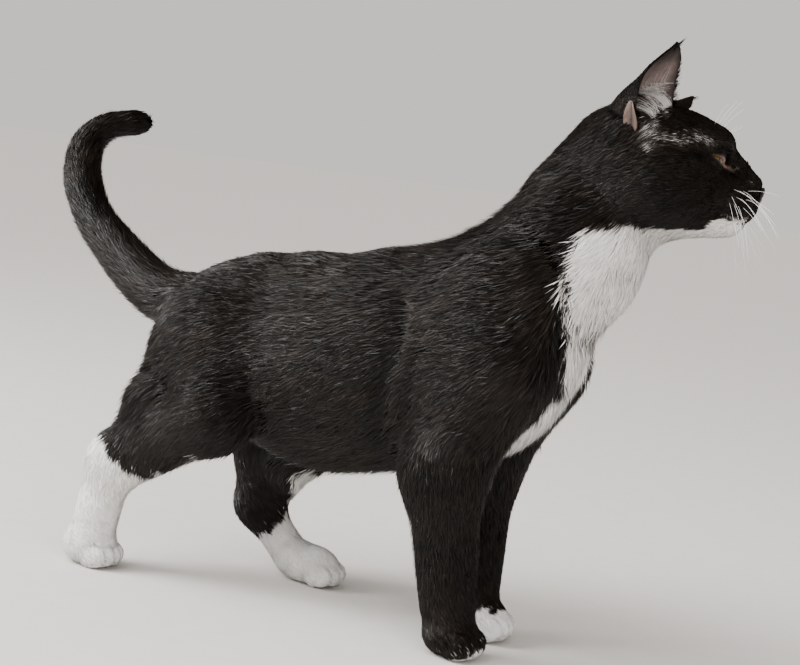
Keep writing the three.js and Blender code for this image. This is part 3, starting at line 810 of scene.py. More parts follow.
def ear_material():
    """The thin skin of the ear: greyish pink within, darker towards its rim and black behind."""
    material, n = new_material("ear skin", Roughness=0.5, Specular_IOR_Level=0.35, Subsurface_Weight=0.08,
                               Subsurface_Scale=0.002)
    pink = n.mottle(260, (0.17, 0.13, 0.122), (0.26, 0.205, 0.19))
    dark = n.mottle(400, (0.009, 0.007, 0.006), (0.03, 0.021, 0.017))
    warm = n.mottle(420, (0.10, 0.068, 0.054), (0.20, 0.145, 0.12))
    n.paint(n.mix(n.attribute("warm"), n.mix(n.attribute("pink"), dark, pink), warm))
    n.bump(n.noise(900, 3), 0.3, 0.0003)
    return material


def nose_material():
    """Black nose leather with the fine pebbling of its skin."""
    material, n = new_material("nose leather", Roughness=0.3, Specular_IOR_Level=0.55, Coat_Weight=0.2,
                               Coat_Roughness=0.25)
    n.paint(n.mottle(600, (0.007, 0.006, 0.006), (0.024, 0.018, 0.017)))
    cells = n.add("ShaderNodeTexVoronoi", feature="DISTANCE_TO_EDGE")
    n.link(n.place(), cells.inputs["Vector"])
    cells.inputs["Scale"].default_value = 1500
    n.bump(cells.outputs["Distance"], 0.5, 0.0004)
    return material


# ------------------------------------------------------------------ the eyes
EYE_OPEN = 4.8  # how far the upper lid stands above the line of the corners, in degrees
EYE_SHUT = 8.5  # and the lower one below it
CORNER_SKIN_AT = 2.3  # the middle of the bare skin by the nose, as an angle round the opening
LID_SKEW = 0.3  # how much wider the lids stand near the nose than near the temple
CORNER_IN, CORNER_OUT = (-46.0, -15.0), (34.0, -6.0)  # degrees across and up from the gaze
LID_MIDDLE = (np.array(CORNER_IN) + CORNER_OUT) / 2
LID_HALF = (np.array(CORNER_OUT) - CORNER_IN) / 2
LID_SPREAD = (66.0, 50.0)  # where the lids' own skin ends, across and up
LID_EDGE = 0.75  # how far the edge of the lids stands off the eyeball
FACE_HAIR = 2.6  # the hair's length round the eyes, which says how deep the skin lies there


def eye_frame(side):
    """Ahead, across to the temple and up, for the eye's gaze in the head's frame."""
    ahead = turn("Z", side * GAZE_OUT) @ np.array([math.cos(0.07), 0, math.sin(0.07)])
    across = unit(np.cross((0, 0, 1), ahead)) * side
    return ahead, across, unit(np.cross(ahead, across) * side)


def eye_direction(side, a, b):
    ahead, across, up = eye_frame(side)
    a, b = np.radians(a)[..., None], np.radians(b)[..., None]
    return ahead * np.cos(a) * np.cos(b) + across * np.sin(a) * np.cos(b) + up * np.sin(b)


def eye_angles(side, p):
    """Degrees across and up from the gaze of points in the head's frame, and their distance."""
    ahead, across, up = eye_frame(side)
    d = p - EYES[side]
    far = length(d)
    rise = np.degrees(np.arcsin((d @ up) / np.maximum(far, 1e-6)))
    return np.degrees(np.arctan2(d @ across, d @ ahead)), rise, far


def eye_material(side):
    """A wet eye: slit pupil, dark amber iris with fibres and a darker edge, reddish brown round it."""
    material, n = new_material("eye " + WORD[side], Roughness=0.08, Specular_IOR_Level=0.6,
                               Coat_Weight=1.0, Coat_Roughness=0.02)
    _, across, up = (HEAD_TURN @ v for v in eye_frame(side))
    centre = to_frame(from_head(EYES[side]))
    shift = n.add("ShaderNodeVectorMath", operation="SUBTRACT")
    n.link(n.add("ShaderNodeNewGeometry").outputs["Position"], shift.inputs[0])
    shift.inputs[1].default_value = tuple(centre)

    def along(axis):
        node = n.add("ShaderNodeVectorMath", operation="DOT_PRODUCT")
        n.link(shift.outputs["Vector"], node.inputs[0])
        node.inputs[1].default_value = tuple(axis / (EYE_RADIUS * MM))
        return node.outputs["Value"]

    def maths(operation, a, b=None):
        node = n.add("ShaderNodeMath", operation=operation)
        for socket, value in zip(node.inputs, (a, b)):
            if isinstance(value, bpy.types.NodeSocket):
                n.link(value, socket)
            elif value is not None:
                socket.default_value = value
        return node.outputs[0]

    u, v = along(across), along(up)
    out = maths("SQRT", maths("ADD", maths("MULTIPLY", u, u), maths("MULTIPLY", v, v)))
    wide = maths("MULTIPLY", u, 3.4)
    slit = maths("SQRT", maths("ADD", maths("MULTIPLY", wide, wide), maths("MULTIPLY", v, v)))
    angle = n.add("ShaderNodeCombineXYZ")
    n.link(maths("MULTIPLY", maths("ARCTAN2", v, u), 9.0), angle.inputs[0])
    n.link(maths("MULTIPLY", out, 2.0), angle.inputs[1])
    fibres = n.noise(1.6, 4, 0.6, angle.outputs[0])
    iris = n.ramp(fibres, [(0.3, (0.10, 0.048, 0.014)), (0.55, (0.20, 0.12, 0.032)),
                           (0.75, (0.26, 0.20, 0.06))])
    ringed = n.mix(n.range(out, 0.42, 0.62), iris, (0.035, 0.018, 0.008))
    pupil = n.mix(n.range(slit, 0.44, 0.5), (0.002, 0.002, 0.002), ringed)
    n.paint(n.mix(n.range(out, 0.66, 0.74), pupil, (0.10, 0.055, 0.04)))
    return material


def first_reach(centre, ways, level, near=8.6, far=24.0):
    """The first crossing of the head's surface along each way, found by steps and then by halving."""
    steps = np.linspace(near, far, 60)
    lo, hi, found = np.full(len(ways), near), np.full(len(ways), near), np.zeros(len(ways), bool)
    for a, b in zip(steps, steps[1:]):
        outside = head_field(centre + ways * b) + level > 0
        new = outside & ~found
        lo[new], hi[new] = a, b
        found |= outside
    lo[~found], hi[~found] = far, far
    return halve(lo, hi, lambda far: head_field(centre + ways * far[:, None]) + level > 0, 12)


def lid_rim(theta):
    """The edge of the lids: degrees across and up at each angle round the opening."""
    s, h = np.cos(theta), np.sin(theta)
    lift = np.where(h > 0, EYE_OPEN, EYE_SHUT) * np.sign(h) * np.abs(h) ** 1.15 * (1 - LID_SKEW * s)
    return LID_MIDDLE[0] + LID_HALF[0] * s, LID_MIDDLE[1] + LID_HALF[1] * s + lift


def lids(side, columns=96, rows=20):
    """The lids as one sheet: in over the eyeball, round their edge, and out to the skin of the face."""
    theta = np.linspace(0, 2 * math.pi, columns, endpoint=False)
    a0, b0 = lid_rim(theta)
    a1, b1 = LID_SPREAD[0] * np.cos(theta), LID_SPREAD[1] * np.sin(theta)
    share = np.concatenate([[-0.1, -0.05, 0.0, 0.035], np.linspace(0.08, 1.0, rows - 4)])
    a = a0 + (a1 - a0) * share[:, None]
    b = b0 + (b1 - b0) * share[:, None]
    ways = eye_direction(side, a.ravel(), b.ravel())
    skin_at = first_reach(EYES[side], ways, depth_of(FACE_HAIR)).reshape(a.shape)
    edge = EYE_RADIUS + LID_EDGE
    out = np.maximum(skin_at, edge)
    rise = smoothstep(share, 0.03, 0.25)[:, None]
    far = edge + (out - edge) * rise
    fold = np.exp(-(((share - 0.42) / 0.06) ** 2))[:, None] * np.clip(np.sin(theta), 0, 1) ** 0.7
    far -= 0.45 * fold
    far[0], far[1], far[2] = EYE_RADIUS - 0.6, EYE_RADIUS + 0.05, EYE_RADIUS + 0.4  # in over the eyeball
    far[-1] -= 0.5  # and in under the skin of the face
    inner = np.exp(-(((theta - CORNER_SKIN_AT) / 0.8) ** 2))
    pink = (1 - smoothstep(share, 0.07, 0.22))[:, None] * np.clip(0.06 + inner, 0, 1)
    points = EYES[side] + ways * far.reshape(-1, 1)
    faces = grid_faces(len(share), columns, closed=True)
    if side == LEFT:
        faces = faces[:, ::-1]
    bare = np.clip(pink * 3 + (share < 0.13)[:, None], 0, 1)
    return from_head(points), faces, pink.ravel(), bare.ravel()


def inside_lids(side, p, margin=0.0):
    """Whether points of the cat's frame lie within the lids' spread, less a margin in degrees."""
    a, b, far = eye_angles(side, to_head(p))
    return ((a / (LID_SPREAD[0] - margin)) ** 2 + (b / (LID_SPREAD[1] - margin)) ** 2 < 1) & (far < 17)


def opening(side, p):
    """How far out each point is from the lids' opening, 1 at its edge, and the way from it in the cat's
    frame."""
    a, b, far = eye_angles(side, to_head(p))
    s = (a - LID_MIDDLE[0]) / LID_HALF[0]
    off = b - LID_MIDDLE[1] - LID_HALF[1] * s
    off /= np.where(off > 0, EYE_OPEN, EYE_SHUT)
    _, across, up = (HEAD_TURN @ v for v in eye_frame(side))
    away = unit(s[:, None] * across * 0.5 + off[:, None] * up)
    return np.where(far < 18, np.hypot(s, off), 9.0), away


# ------------------------------------------------------------------ the ears
EAR_ROWS, EAR_COLUMNS = 44, 36
POCKET = (0.0, 0.36)  # the stretch of the rear margin with the small doubled fold
POCKET_BREADTH = 0.17  # how far round the ear's back it reaches


def ear_sheet(side, u, v):
    """Points of the ear's hollow in the head's frame, u from base to tip and v from front to rear."""
    front, back, rear = (catmull(EAR[key], u) for key in ("front", "back", "rear"))
    v = np.asarray(v, float)[:, None]
    p = front * (v * (v - 1)) / 2 + back * (1 - v * v) + rear * (v * (v + 1)) / 2
    turned = turn("X", -EAR_OUTWARD[side]) @ turn("Y", EAR_FORWARD[side])
    p = (p - EAR_BASE) @ turned.T + EAR_BASE
    return p * (1, side, 1)


def ear_backwards(side, u, v):
    across = ear_sheet(side, u, np.minimum(v + 0.02, 1)) - ear_sheet(side, u, np.maximum(v - 0.02, -1))
    along = ear_sheet(side, np.minimum(u + 0.005, 1), v) - ear_sheet(side, np.maximum(u - 0.01, 0), v)
    return unit(np.cross(along, across)) * side


def ear_back_at(u, v):
    """How far behind the hollow the skin of the ear's back lies."""
    return 0.75 + 1.0 * np.sqrt(np.clip(1 - v**4, 0, 1)) * (1 - 0.6 * u**3)


def closed_rings(rings):
    """A closed body through rings of as many points each, with its two ends capped."""
    rows, n = rings.shape[:2]
    points = np.vstack([rings.reshape(-1, 3), rings[0].mean(0), rings[-1].mean(0)])
    ring = np.arange(n)
    first = np.stack([np.roll(ring, -1), ring, np.full(n, rows * n)], axis=1)
    ring = ring + (rows - 1) * n
    last = np.stack([ring, np.roll(ring, -1), np.full(n, rows * n + 1)], axis=1)
    return points, np.vstack([grid_faces(rows, n, closed=True), first, last])


def ear_shell(side):
    """The ear's skin: its back, its thin margin and its hollow, with ridges low inside."""
    u, v = np.meshgrid(np.linspace(0, 0.992, EAR_ROWS), np.linspace(-1, 1, EAR_COLUMNS), indexing="ij")
    u, v = u.ravel(), v.ravel()
    backwards = ear_backwards(side, u, v)
    sheet = ear_sheet(side, u, v)
    ridges = np.cos(v * 13 + u * 4) * np.clip(1 - u / 0.55, 0, 1) * np.clip(1 - v * v, 0, 1) * 0.5
    round_off = np.sqrt(np.clip(1 - v**4, 0, 1))
    back = (sheet + backwards * ear_back_at(u, v)[:, None]).reshape(EAR_ROWS, EAR_COLUMNS, 3)
    hollow = (sheet + backwards * (0.3 - ridges * round_off)[:, None]).reshape(EAR_ROWS, EAR_COLUMNS, 3)
    points, faces = closed_rings(np.concatenate([hollow, back[:, ::-1]], axis=1))
    within = np.minimum(1, (1 - np.abs(v)) / 0.2) * (1 - smoothstep(u, 0.45, 0.95))
    pink = np.concatenate([within.reshape(EAR_ROWS, -1), np.zeros((EAR_ROWS, EAR_COLUMNS))], axis=1)
    pink = np.concatenate([pink.ravel(), [0, 0]])
    return from_head(points), faces if side == LEFT else faces[:, ::-1], pink


def tube(line, radii, sides):
    """A closed round tube along a line of points."""
    line = np.asarray(line, float)
    ahead = unit(np.gradient(line, axis=0))
    lean = unit(np.cross(ahead, (0.31, 0.52, 0.79)))
    rise = np.cross(ahead, lean)
    a = np.linspace(0, 2 * math.pi, sides, endpoint=False)
    ring = np.cos(a)[None, :, None] * lean[:, None] + np.sin(a)[None, :, None] * rise[:, None]
    points = line[:, None] + ring * np.asarray(radii, float)[:, None, None]
    return closed_rings(points)


def join(parts):
    """Runs several lots of points and faces into one."""
    points, faces, count = [], [], 0
    for p, f in parts:
        points.append(p)
        faces.append(f + count)
        count += len(p)
    return np.vstack(points), np.vstack(faces)


def ear_pocket(side):
    """The small doubled fold at the foot of the ear's rear margin: a leaf-shaped cup on the ear's back, open
    outwards, the lip beside the margin the taller."""
    rows, columns = 26, 15
    s, t = np.meshgrid(np.linspace(0.01, 0.99, rows), np.linspace(-1, 1, columns), indexing="ij")
    s, t = s.ravel(), t.ravel()
    u = POCKET[0] + (POCKET[1] - POCKET[0]) * s
    wide = np.sin(math.pi * s) ** 0.6
    v = 0.985 - POCKET_BREADTH * (0.5 - 0.5 * t * wide)
    backwards = ear_backwards(side, u, v)
    rearward = unit(ear_sheet(side, u, v) - ear_sheet(side, u, v - 0.1))
    lip = np.abs(t) ** 2.0 * wide * np.where(t > 0, 1.7, 1.3)
    base = ear_sheet(side, u, v) + backwards * (ear_back_at(u, v) + 0.1)[:, None]
    shift = 2.2 + 0.9 * np.abs(t) * t
    within = base + backwards * (0.25 + lip)[:, None] + rearward * (shift * wide)[:, None]
    without = within - backwards * 0.35 + rearward * (0.45 * np.sign(t) * np.abs(t) ** 1.5)[:, None]
    within, without = within.reshape(rows, columns, 3), without.reshape(rows, columns, 3)
    points, faces = closed_rings(np.concatenate([within, without[:, ::-1]], axis=1))
    # the tint is low in the fold's middle, which paints its recess dark as shade, and high on its lips, which
    # take their own warm beige
    tint = np.abs(t.reshape(rows, columns))
    tint = np.concatenate([tint, tint[:, ::-1]], axis=1).ravel()
    return from_head(points), faces if side == RIGHT else faces[:, ::-1], np.concatenate([tint, [1, 1]])


# ------------------------------------------------------------------ the nose
NOSE_HEART = np.array([33.0, 0.0, -4.5])
NOSE_HALF_WIDTH, NOSE_TOP, NOSE_BOTTOM = 5.2, 4.6, 7.2
NOSE_PROUD = 0.15  # how far the leather stands off the form


def nose_field(p):
    """The head with the nose pad's two wings and tip, and the nostrils let into them."""
    shapes = [lump((40.2, s * 2.7, -4.2), (2.9, 2.5, 2.6), soft=2) for s in SIDES]
    shapes.append(lump((40.4, 0, -2.0), (3.0, 3.2, 2.6), soft=2))
    hollows = [limb(mirrored(s, (43.4, 2.3, -5.0)), mirrored(s, (41.4, 4.9, -3.6)), 0.75, 0.5, soft=0.8)
               for s in SIDES]
    hollows += [lump(mirrored(s, (43.2, 2.0, -4.8)), (1.6, 1.15, 1.1), soft=0.8) for s in SIDES]
    hollows.append(limb((44.4, 0, -4), (43, 0, -11), 0.5, 0.5, soft=1.0))
    return press_forms(add_forms(head_field(p), p, shapes), p, hollows)


def nose_pad(columns=72, rows=34):
    """The bare leather of the nose: a heart-shaped sheet laid on the nose's form, its rim turned in."""
    theta = np.linspace(0, 2 * math.pi, columns, endpoint=False)
    side, up = np.cos(theta), np.sin(theta)
    tall = np.where(up > 0, NOSE_TOP, NOSE_BOTTOM)
    narrow = 1 - 0.55 * np.clip(-up, 0, 1) ** 1.2
    share = np.concatenate([np.linspace(0.03, 0.94, rows - 2), [1.0, 1.04]])
    y = share[:, None] * NOSE_HALF_WIDTH * side * narrow
    z = share[:, None] * tall * up
    ways = unit(np.stack([np.full(y.shape, 10.5), y, z], axis=-1).reshape(-1, 3))
    outside = lambda far: nose_field(NOSE_HEART + ways * far[:, None]) - NOSE_PROUD > 0
    far = halve(np.full(len(ways), 5.0), np.full(len(ways), 16.0), outside, 16).reshape(y.shape)
    far[-2] -= 0.25
    far[-1] -= 1.1
    points = NOSE_HEART + ways * far.reshape(-1, 1)
    points = np.vstack([points, points[:columns].mean(0)])
    faces = grid_faces(rows, columns, closed=True)
    ring = np.arange(columns)
    cap = np.stack([np.roll(ring, -1), ring, np.full(columns, len(points) - 1)], axis=1)
    return from_head(points), np.vstack([faces, cap])[:, ::-1]


# ------------------------------------------------------------------ the coat's tufts
LAYERS = 3.3  # how many tufts lie over each place
MOST_TUFTS = 345000
LOT = 45000  # tufts in one piece at most
KEEL = 0.35  # a tuft's depth at its middle, as a share of its width
EDGE_LEAN = 0.8  # how far a tuft's normals lean outwards at its edges
TILT = 0.26  # how far they tilt at random from one tuft to the next
PATCH = 0.003  # how much of the bake's picture one tuft takes
MIDDLE_AT = 0.45  # how far along a tuft its middle lies
LIDS_CLEAR = 1.12  # no tuft comes nearer the lids' opening than this, 1 being its edge
STRAY_SHARE, STRAY_SWING, STRAY_WIDTH = 0.05, 2.2, 0.5  # tufts that cross the rest
FOLDED_SHARE = 0.4  # what a tuft keeps of its length where the skin turns sharply under it
ROOT_DEPTH = 0.3
quick_share = 1


def tuft_width(hair):
    return 0.125 + 0.02 * hair


def lie_round_eyes(flow, hair, points, normals):
    """Turns the hair away from the lids' opening, and shortens it there."""
    for side in SIDES:
        out, away = opening(side, points)
        share = (1 - smoothstep(out, 1.3, 3.2))[:, None]
        away = away - normals * (away * normals).sum(1, keepdims=True)
        flow = unit(flow * (1 - 0.8 * share) + away * share * 1.2)
        hair = np.minimum(hair, 1.3 + 1.4 * np.clip(out - 1.2, 0, 9))
    return flow, hair


def coat_lines(points, normals):
    """A row for each vertex of the skin: where a hair rooted there has its root, middle and tip, the way up
    at each, its length, and how far it stands off."""
    flow, hair, stand = groom(points, normals)
    flow, hair = lie_round_eyes(flow, hair, points, normals)
    level = depth_of(hair)
    middle, up_middle = settle(points + flow * hair[:, None] * MIDDLE_AT, level, 2)
    flow_on, hair_on, _ = groom(middle, up_middle)
    flow_on, _ = lie_round_eyes(flow_on, hair_on, middle, up_middle)
    tip, up_tip = settle(middle + flow_on * hair[:, None] * (1 - MIDDLE_AT), level, 2)
    columns = [points, middle, tip, normals, up_middle, up_tip, hair[:, None], stand[:, None]]
    return np.concatenate(columns, axis=1)


def sow(points, faces, density):
    """Roots scattered over faces by density: their faces and their shares of each corner."""
    a, b, c = (points[faces[:, k]] for k in range(3))
    area = length(np.cross(b - a, c - a)) / 2
    want = area * density[faces].mean(1)
    want *= min(1.0, MOST_TUFTS / want.sum()) * quick_share
    count = np.floor(want + rng.random(len(want))).astype(int)
    face = np.repeat(np.arange(len(faces)), count)
    r = rng.random((len(face), 2))
    flip = r.sum(1) > 1
    r[flip] = 1 - r[flip]
    return face, np.stack([1 - r.sum(1), r[:, 0], r[:, 1]], axis=1)


def rise_of(root, middle, tip, up):
    """How far each tuft's middle stands over the straight line from root to tip."""
    return ((middle - root * (1 - MIDDLE_AT) - tip * MIDDLE_AT) * up).sum(1)


def spindles(root, middle, tip, up, width, tilt):
    """A closed slender body for each tuft: its root, a left and a right point, and its tip, over a keel. Its
    normals stand off the skin, lean to its edges, and tilt a little from one tuft to the next, so that light
    runs along it as along hair."""
    aside = unit(np.cross(tip - root, up))
    across = aside * width[:, None] / 2
    rise = rise_of(root, middle, tip, up)
    middle = middle + up * np.maximum(KEEL * width - rise, 0)[:, None]
    corners = np.stack([root, middle + across, middle - across, tip], axis=1)
    lean = EDGE_LEAN * aside
    facing = up + tilt
    facing = unit(np.stack([facing, facing + lean, facing - lean, facing], axis=1))
    shape = np.array([[0, 1, 2], [3, 2, 1], [1, 0, 3], [0, 2, 3]])
    faces = (np.arange(len(root)) * 4)[:, None, None] + shape
    return corners.reshape(-1, 3), faces.reshape(-1, 3), facing.reshape(-1, 3)


def atlas(points, normals):
    """Where each root lies on an unwrap of the skin: six views of it from outside, side by side."""
    low, high = points.min(0), points.max(0)
    q = (points - low) / np.maximum(high - low, 1e-6)
    axis = np.abs(normals).argmax(1)
    rows = np.arange(len(points))
    facing = normals[rows, axis] > 0
    s = q[rows, (axis + 1) % 3]
    t = q[rows, (axis + 2) % 3]
    return np.stack([(axis + 0.02 + 0.95 * s) / 3, (facing + 0.02 + 0.95 * t) / 2], axis=1)


TUFT_PATCH = np.array([(0.5, 0), (0, 0.45), (1, 0.45), (0.5, 1)]) * PATCH


def coat_piece(name, material, root, middle, tip, up, width, shade, place):
    """A lot of tufts as one mesh, given each one's root, middle and tip, its width, shade and place in the
    bake's picture."""
    tilt = rng.normal(0, TILT, root.shape)
    points, faces, facing = spindles(root, middle, tip, up, width, tilt)
    points[:, 2] = np.maximum(points[:, 2], TUFT_LOWEST)
    uv = (place[:, None] + TUFT_PATCH).reshape(-1, 2)
    make_piece(name, points, faces, [material],
               {"shade": np.repeat(shade, 4)}, np.clip(uv, 0, 1), up=facing)


REGIONS = ["head", "tail", "right_foreleg", "left_foreleg", "right_hindleg", "left_hindleg", "body"]


LEG_TOP = 112  # the height over which a leg's hair counts as the body's


def region_of(p):
    """Which part of the cat each root grows on, as an index of REGIONS."""
    found = np.full(len(p), len(REGIONS) - 1)
    best = torso_field(p)
    fields = [lambda q: head_field(to_head(q)), tail_field] + [field for field, *_ in leg_fields]
    for i, field in enumerate(fields):
        d = field(p)
        is_leg = i >= 2
        nearer = (d < best) & (p[:, 2] < LEG_TOP) if is_leg else d < best - 2
        found[nearer], best = i, np.where(nearer, d, best)
    return found


# Where thin short hair is painted pale, in the head's frame: below the ear's front, from there over the eye,
# round the eye's inner corner and down to the nose, and at the roots of the whiskers. Below the ear and over
# the eye this is mostly a painted sheen of light on thin hair, and partly the paler look of the thin hair
# itself.
THIN_HAIR_SHEEN_EAR = [(-8, 20, 26), (-12, 26, 20), (-10, 30, 9)]
THIN_HAIR_SHEEN_BROW = [(-7, 30, 11), (2, 29, 11), (9, 26, 13.5), (17, 24, 12.5)]
SILVER_CORNER = [(25, 13.5, 8), (28.5, 11.6, 4)]
SILVER_TEAR = [(29, 11, 3.5), (33, 9.5, 1), (38, 7.5, -1.5)]
SILVER_PAD = [(30, 14, -9), (29, 14.5, -12)]


def silver_and_painted_sheen(p):
    """How pale the black coat is painted at each point, from 0 to 1: mostly a painted sheen below the ears
    and over the eyes, and paler thin hair round the eyes' inner corners and at the whiskers' roots.
    """
    h = one_side(to_head(p))
    silver_and_sheen = np.maximum(near_line(h, THIN_HAIR_SHEEN_EAR, 1.5, 8), near_line(h, THIN_HAIR_SHEEN_BROW, 0.5, 7))
    silver_and_sheen = np.maximum(silver_and_sheen, 0.45 * near_line(h, SILVER_CORNER, 0.6, 3.2))
    silver_and_sheen = np.maximum(silver_and_sheen, 0.35 * near_line(h, SILVER_TEAR, 0.3, 1.4))
    silver_and_sheen = np.maximum(silver_and_sheen, 0.3 * near_line(h, SILVER_PAD, 0.5, 3))
    return silver_and_sheen * (p[:, 2] > 225)


def coat_density(points, normals, hair, bare):
    """Tufts to a square millimetre at each vertex: none on soles and nose, and fewer in the ears' bowls."""
    layers = LAYERS * (0.62 + 0.38 * smoothstep(hair, 2.5, 8))
    density = layers / (0.5 * tuft_width(hair) * hair)
    sole = (points[:, 2] < 2.2) & (normals[:, 2] < -0.6)
    h = to_head(points)
    on_nose = (h[:, 0] > 36) & (np.hypot(h[:, 1] / 5.0, (h[:, 2] + 4.6) / 5.0) < 1)
    return np.where(sole | on_nose, 0, density * (1 - bare) * (1 - 0.3 * in_ear(points)))


def grow_tufts(lines):
    """Each tuft's root, middle and tip, the way up at root and middle, and its width, from the coat's lines
    at the roots. Tufts swing aside, differ in length and stand off the skin by chance."""
    root, middle, tip, up, up_middle, up_tip = (lines[:, k:k + 3] for k in range(0, 18, 3))
    up, up_middle, up_tip = unit(up), unit(up_middle), unit(up_tip)
    hair, stand = lines[:, 18], lines[:, 19]
    n = len(root)
    depth = depth_of(hair)
    across = unit(np.cross(tip - root, up_middle))
    stray = rng.random(n) < STRAY_SHARE
    swing = rng.normal(0, 0.09, n) + 0.08 * waves(root, 14, 7) + 0.05 * waves(root, 5, 8)
    swing = np.where(stray, swing * STRAY_SWING, swing) * hair
    scale = np.where(stray, rng.uniform(0.9, 1.3, n), rng.uniform(0.75, 1.1, n))
    middle = root + (middle - root) * scale[:, None]
    tip = middle + (tip - root - (middle - root) / scale[:, None]) * scale[:, None]
    folded = rise_of(root, middle, tip, up_middle) < -0.04 * hair
    folded |= ((up * up_middle).sum(1) < 0.5) | ((up_middle * up_tip).sum(1) < 0.5)
    shorter = np.where(folded, FOLDED_SHARE, 1.0)[:, None]
    middle, tip = root + (middle - root) * shorter, root + (tip - root) * shorter
    up_middle = np.where(folded[:, None], up, up_middle)
    up_tip = np.where(folded[:, None], up, up_tip)
    lift = rng.uniform(0.3, 1.0, n)
    high_middle = depth * (0.25 + 0.45 * lift)
    high_tip = depth * (0.35 + 0.65 * lift) + stand * lift**2
    high_tip = np.where(stray, depth + stand + hair * 0.05, high_tip)
    middle = middle + across * (swing * 0.35)[:, None] + up_middle * high_middle[:, None]
    tip = tip + across * swing[:, None] + up_tip * high_tip[:, None]
    width = tuft_width(hair) * np.where(stray, STRAY_WIDTH, rng.uniform(0.8, 1.25, n))
    return root - up * ROOT_DEPTH, middle, tip, up, up_middle, width


def tuft_shades(root):
    """Each tuft's shade: by chance, drifting from place to place, paler with silver hair and its painted
    sheen, and along each shoulder's fold darker in the hollow as painted shade and paler on the ridge as a
    painted highlight.
    """
    n = len(root)
    drift = 0.1 * waves(root, 6, 9)
    shade = np.clip(rng.normal(0.36, 0.16, n) + drift + 0.06 * waves(root, 45, 13), 0, 0.68)
    # silver hair here and in the ears' bowls, most of it a painted sheen of light on thin hair
    silver_and_sheen = (silver_and_painted_sheen(root) + 0.8 * in_ear(root)) * (1 + 0.25 * waves(root, 4, 12))
    # painted shade in the hollow of the fold behind each shoulder, and a painted highlight on the ridge
    # before it
    hollow, ridge = shoulder_fold(root)
    shade += 0.13 * ridge - 0.16 * hollow
    return shade + np.clip(silver_and_sheen, 0, 1) * rng.uniform(0.2, 0.6, n)


def is_white(root):
    """Whether each tuft is white. A few near the margin below the head take the other colour."""
    white = whiteness(root) > 0
    other = rng.random(len(root)) < 0.012
    return white ^ (other & (np.abs(white_margin(root)) < 7) & (root[:, 2] < 205))


def coat(points, faces, normals, bare, materials):
    """Tufts all over the body's skin, but for where bare is set, in pieces by part of the cat and colour."""
    lines = coat_lines(points, normals)
    face, share = sow(points, faces, coat_density(points, normals, lines[:, 18], bare))
    at_roots = np.einsum("nk,nkj->nj", share, lines[faces[face]])
    root, middle, tip, up, up_middle, width = grow_tufts(at_roots)
    keep = np.ones(len(root), bool)
    for side in SIDES:
        keep &= (opening(side, tip)[0] > LIDS_CLEAR) & (opening(side, middle)[0] > LIDS_CLEAR)
    shade = tuft_shades(root)
    lot = is_white(root) + region_of(root) * 2
    place = np.zeros((len(root), 2))
    for key in np.unique(lot):
        of_lot = lot == key
        place[of_lot] = atlas(root[of_lot], up[of_lot])
        name = "coat_" + REGIONS[key // 2] + ("_white" if key % 2 else "_black")
        chosen = np.flatnonzero(of_lot & keep)
        chosen = chosen[np.argsort(root[chosen, 0], kind="stable")]
        lots = np.array_split(chosen, max(1, math.ceil(len(chosen) / LOT)))
        for i, some in enumerate(lots):
            if len(some) > 10:
                label = name if len(lots) == 1 else f"{name}_{i + 1}"
                coat_piece(label, materials[key % 2], root[some], middle[some], tip[some],
                           up_middle[some], width[some], shade[some], place[some])


# ------------------------------------------------------------------ light, floor and camera
CAMERA_AT = (352.0, -821.0, 235.0)
CAMERA_YAW, CAMERA_PITCH, CAMERA_ROLL = 27.0, 5.2, 7.5  # turned left, tipped down, right side raised
LENS, SENSOR = 81.0, 36.0
AMBIENT = (0.62, 0.60, 0.58)  # the light of the room
BACKDROP = (0.66, 0.63, 0.60)  # what the camera sees of it
GLOSS = (0.15, 0.135, 0.12)  # what glossy surfaces see of the room
LIT = (-60, 0, 150)  # the middle of the cat, which the lights face
FLOOR_HALF = 30.0  # in metres


def place_camera():
    """The photograph's view: level with the cat's neck, from its right and a little ahead, tilted."""
    yaw, pitch, roll = (math.radians(v) for v in (CAMERA_YAW, CAMERA_PITCH, CAMERA_ROLL))
    ahead = Vector((-math.sin(yaw) * math.cos(pitch), math.cos(yaw) * math.cos(pitch), -math.sin(pitch)))
    level = Vector((math.cos(yaw), math.sin(yaw), 0))
    rise = level.cross(ahead)
    right = level * math.cos(roll) + rise * math.sin(roll)
    up = rise * math.cos(roll) - level * math.sin(roll)
    camera = new_object("camera", bpy.data.cameras.new("camera"))
    camera.data.lens, camera.data.sensor_width = LENS, SENSOR
    camera.data.clip_start = 0.01
    camera.matrix_world = Matrix.Translation(Vector(to_frame(CAMERA_AT))) @ Matrix(
        (right, up, -ahead)).transposed().to_4x4()
    bpy.context.scene.camera = camera
    bpy.context.scene.view_settings.look = "AgX - Medium High Contrast"


def area_light(name, way, distance, size, power, glossy=True):
    """A soft square light looking at the cat's middle from the given way."""
    data = bpy.data.lights.new(name, "AREA")
    data.size, data.energy = size, power
    light = new_object(name, data)
    way = Vector(way).normalized()
    light.location = Vector(to_frame(LIT)) + way * distance
    light.rotation_euler = way.to_track_quat("Z", "Y").to_euler()
    light.visible_glossy = glossy


def plain_floor():
    half = FLOOR_HALF
    mesh = bpy.data.meshes.new("floor")
    corners = [(-half, -half, 0), (half, -half, 0), (half, half, 0), (-half, half, 0)]
    mesh.from_pydata(corners, [], [(0, 1, 2, 3)])
    floor = new_object("floor", mesh)
    material, n = new_material("plain floor", Roughness=0.8)
    n.paint(n.mottle(60, (0.60, 0.575, 0.55), (0.62, 0.595, 0.57)))
    mesh.materials.append(material)


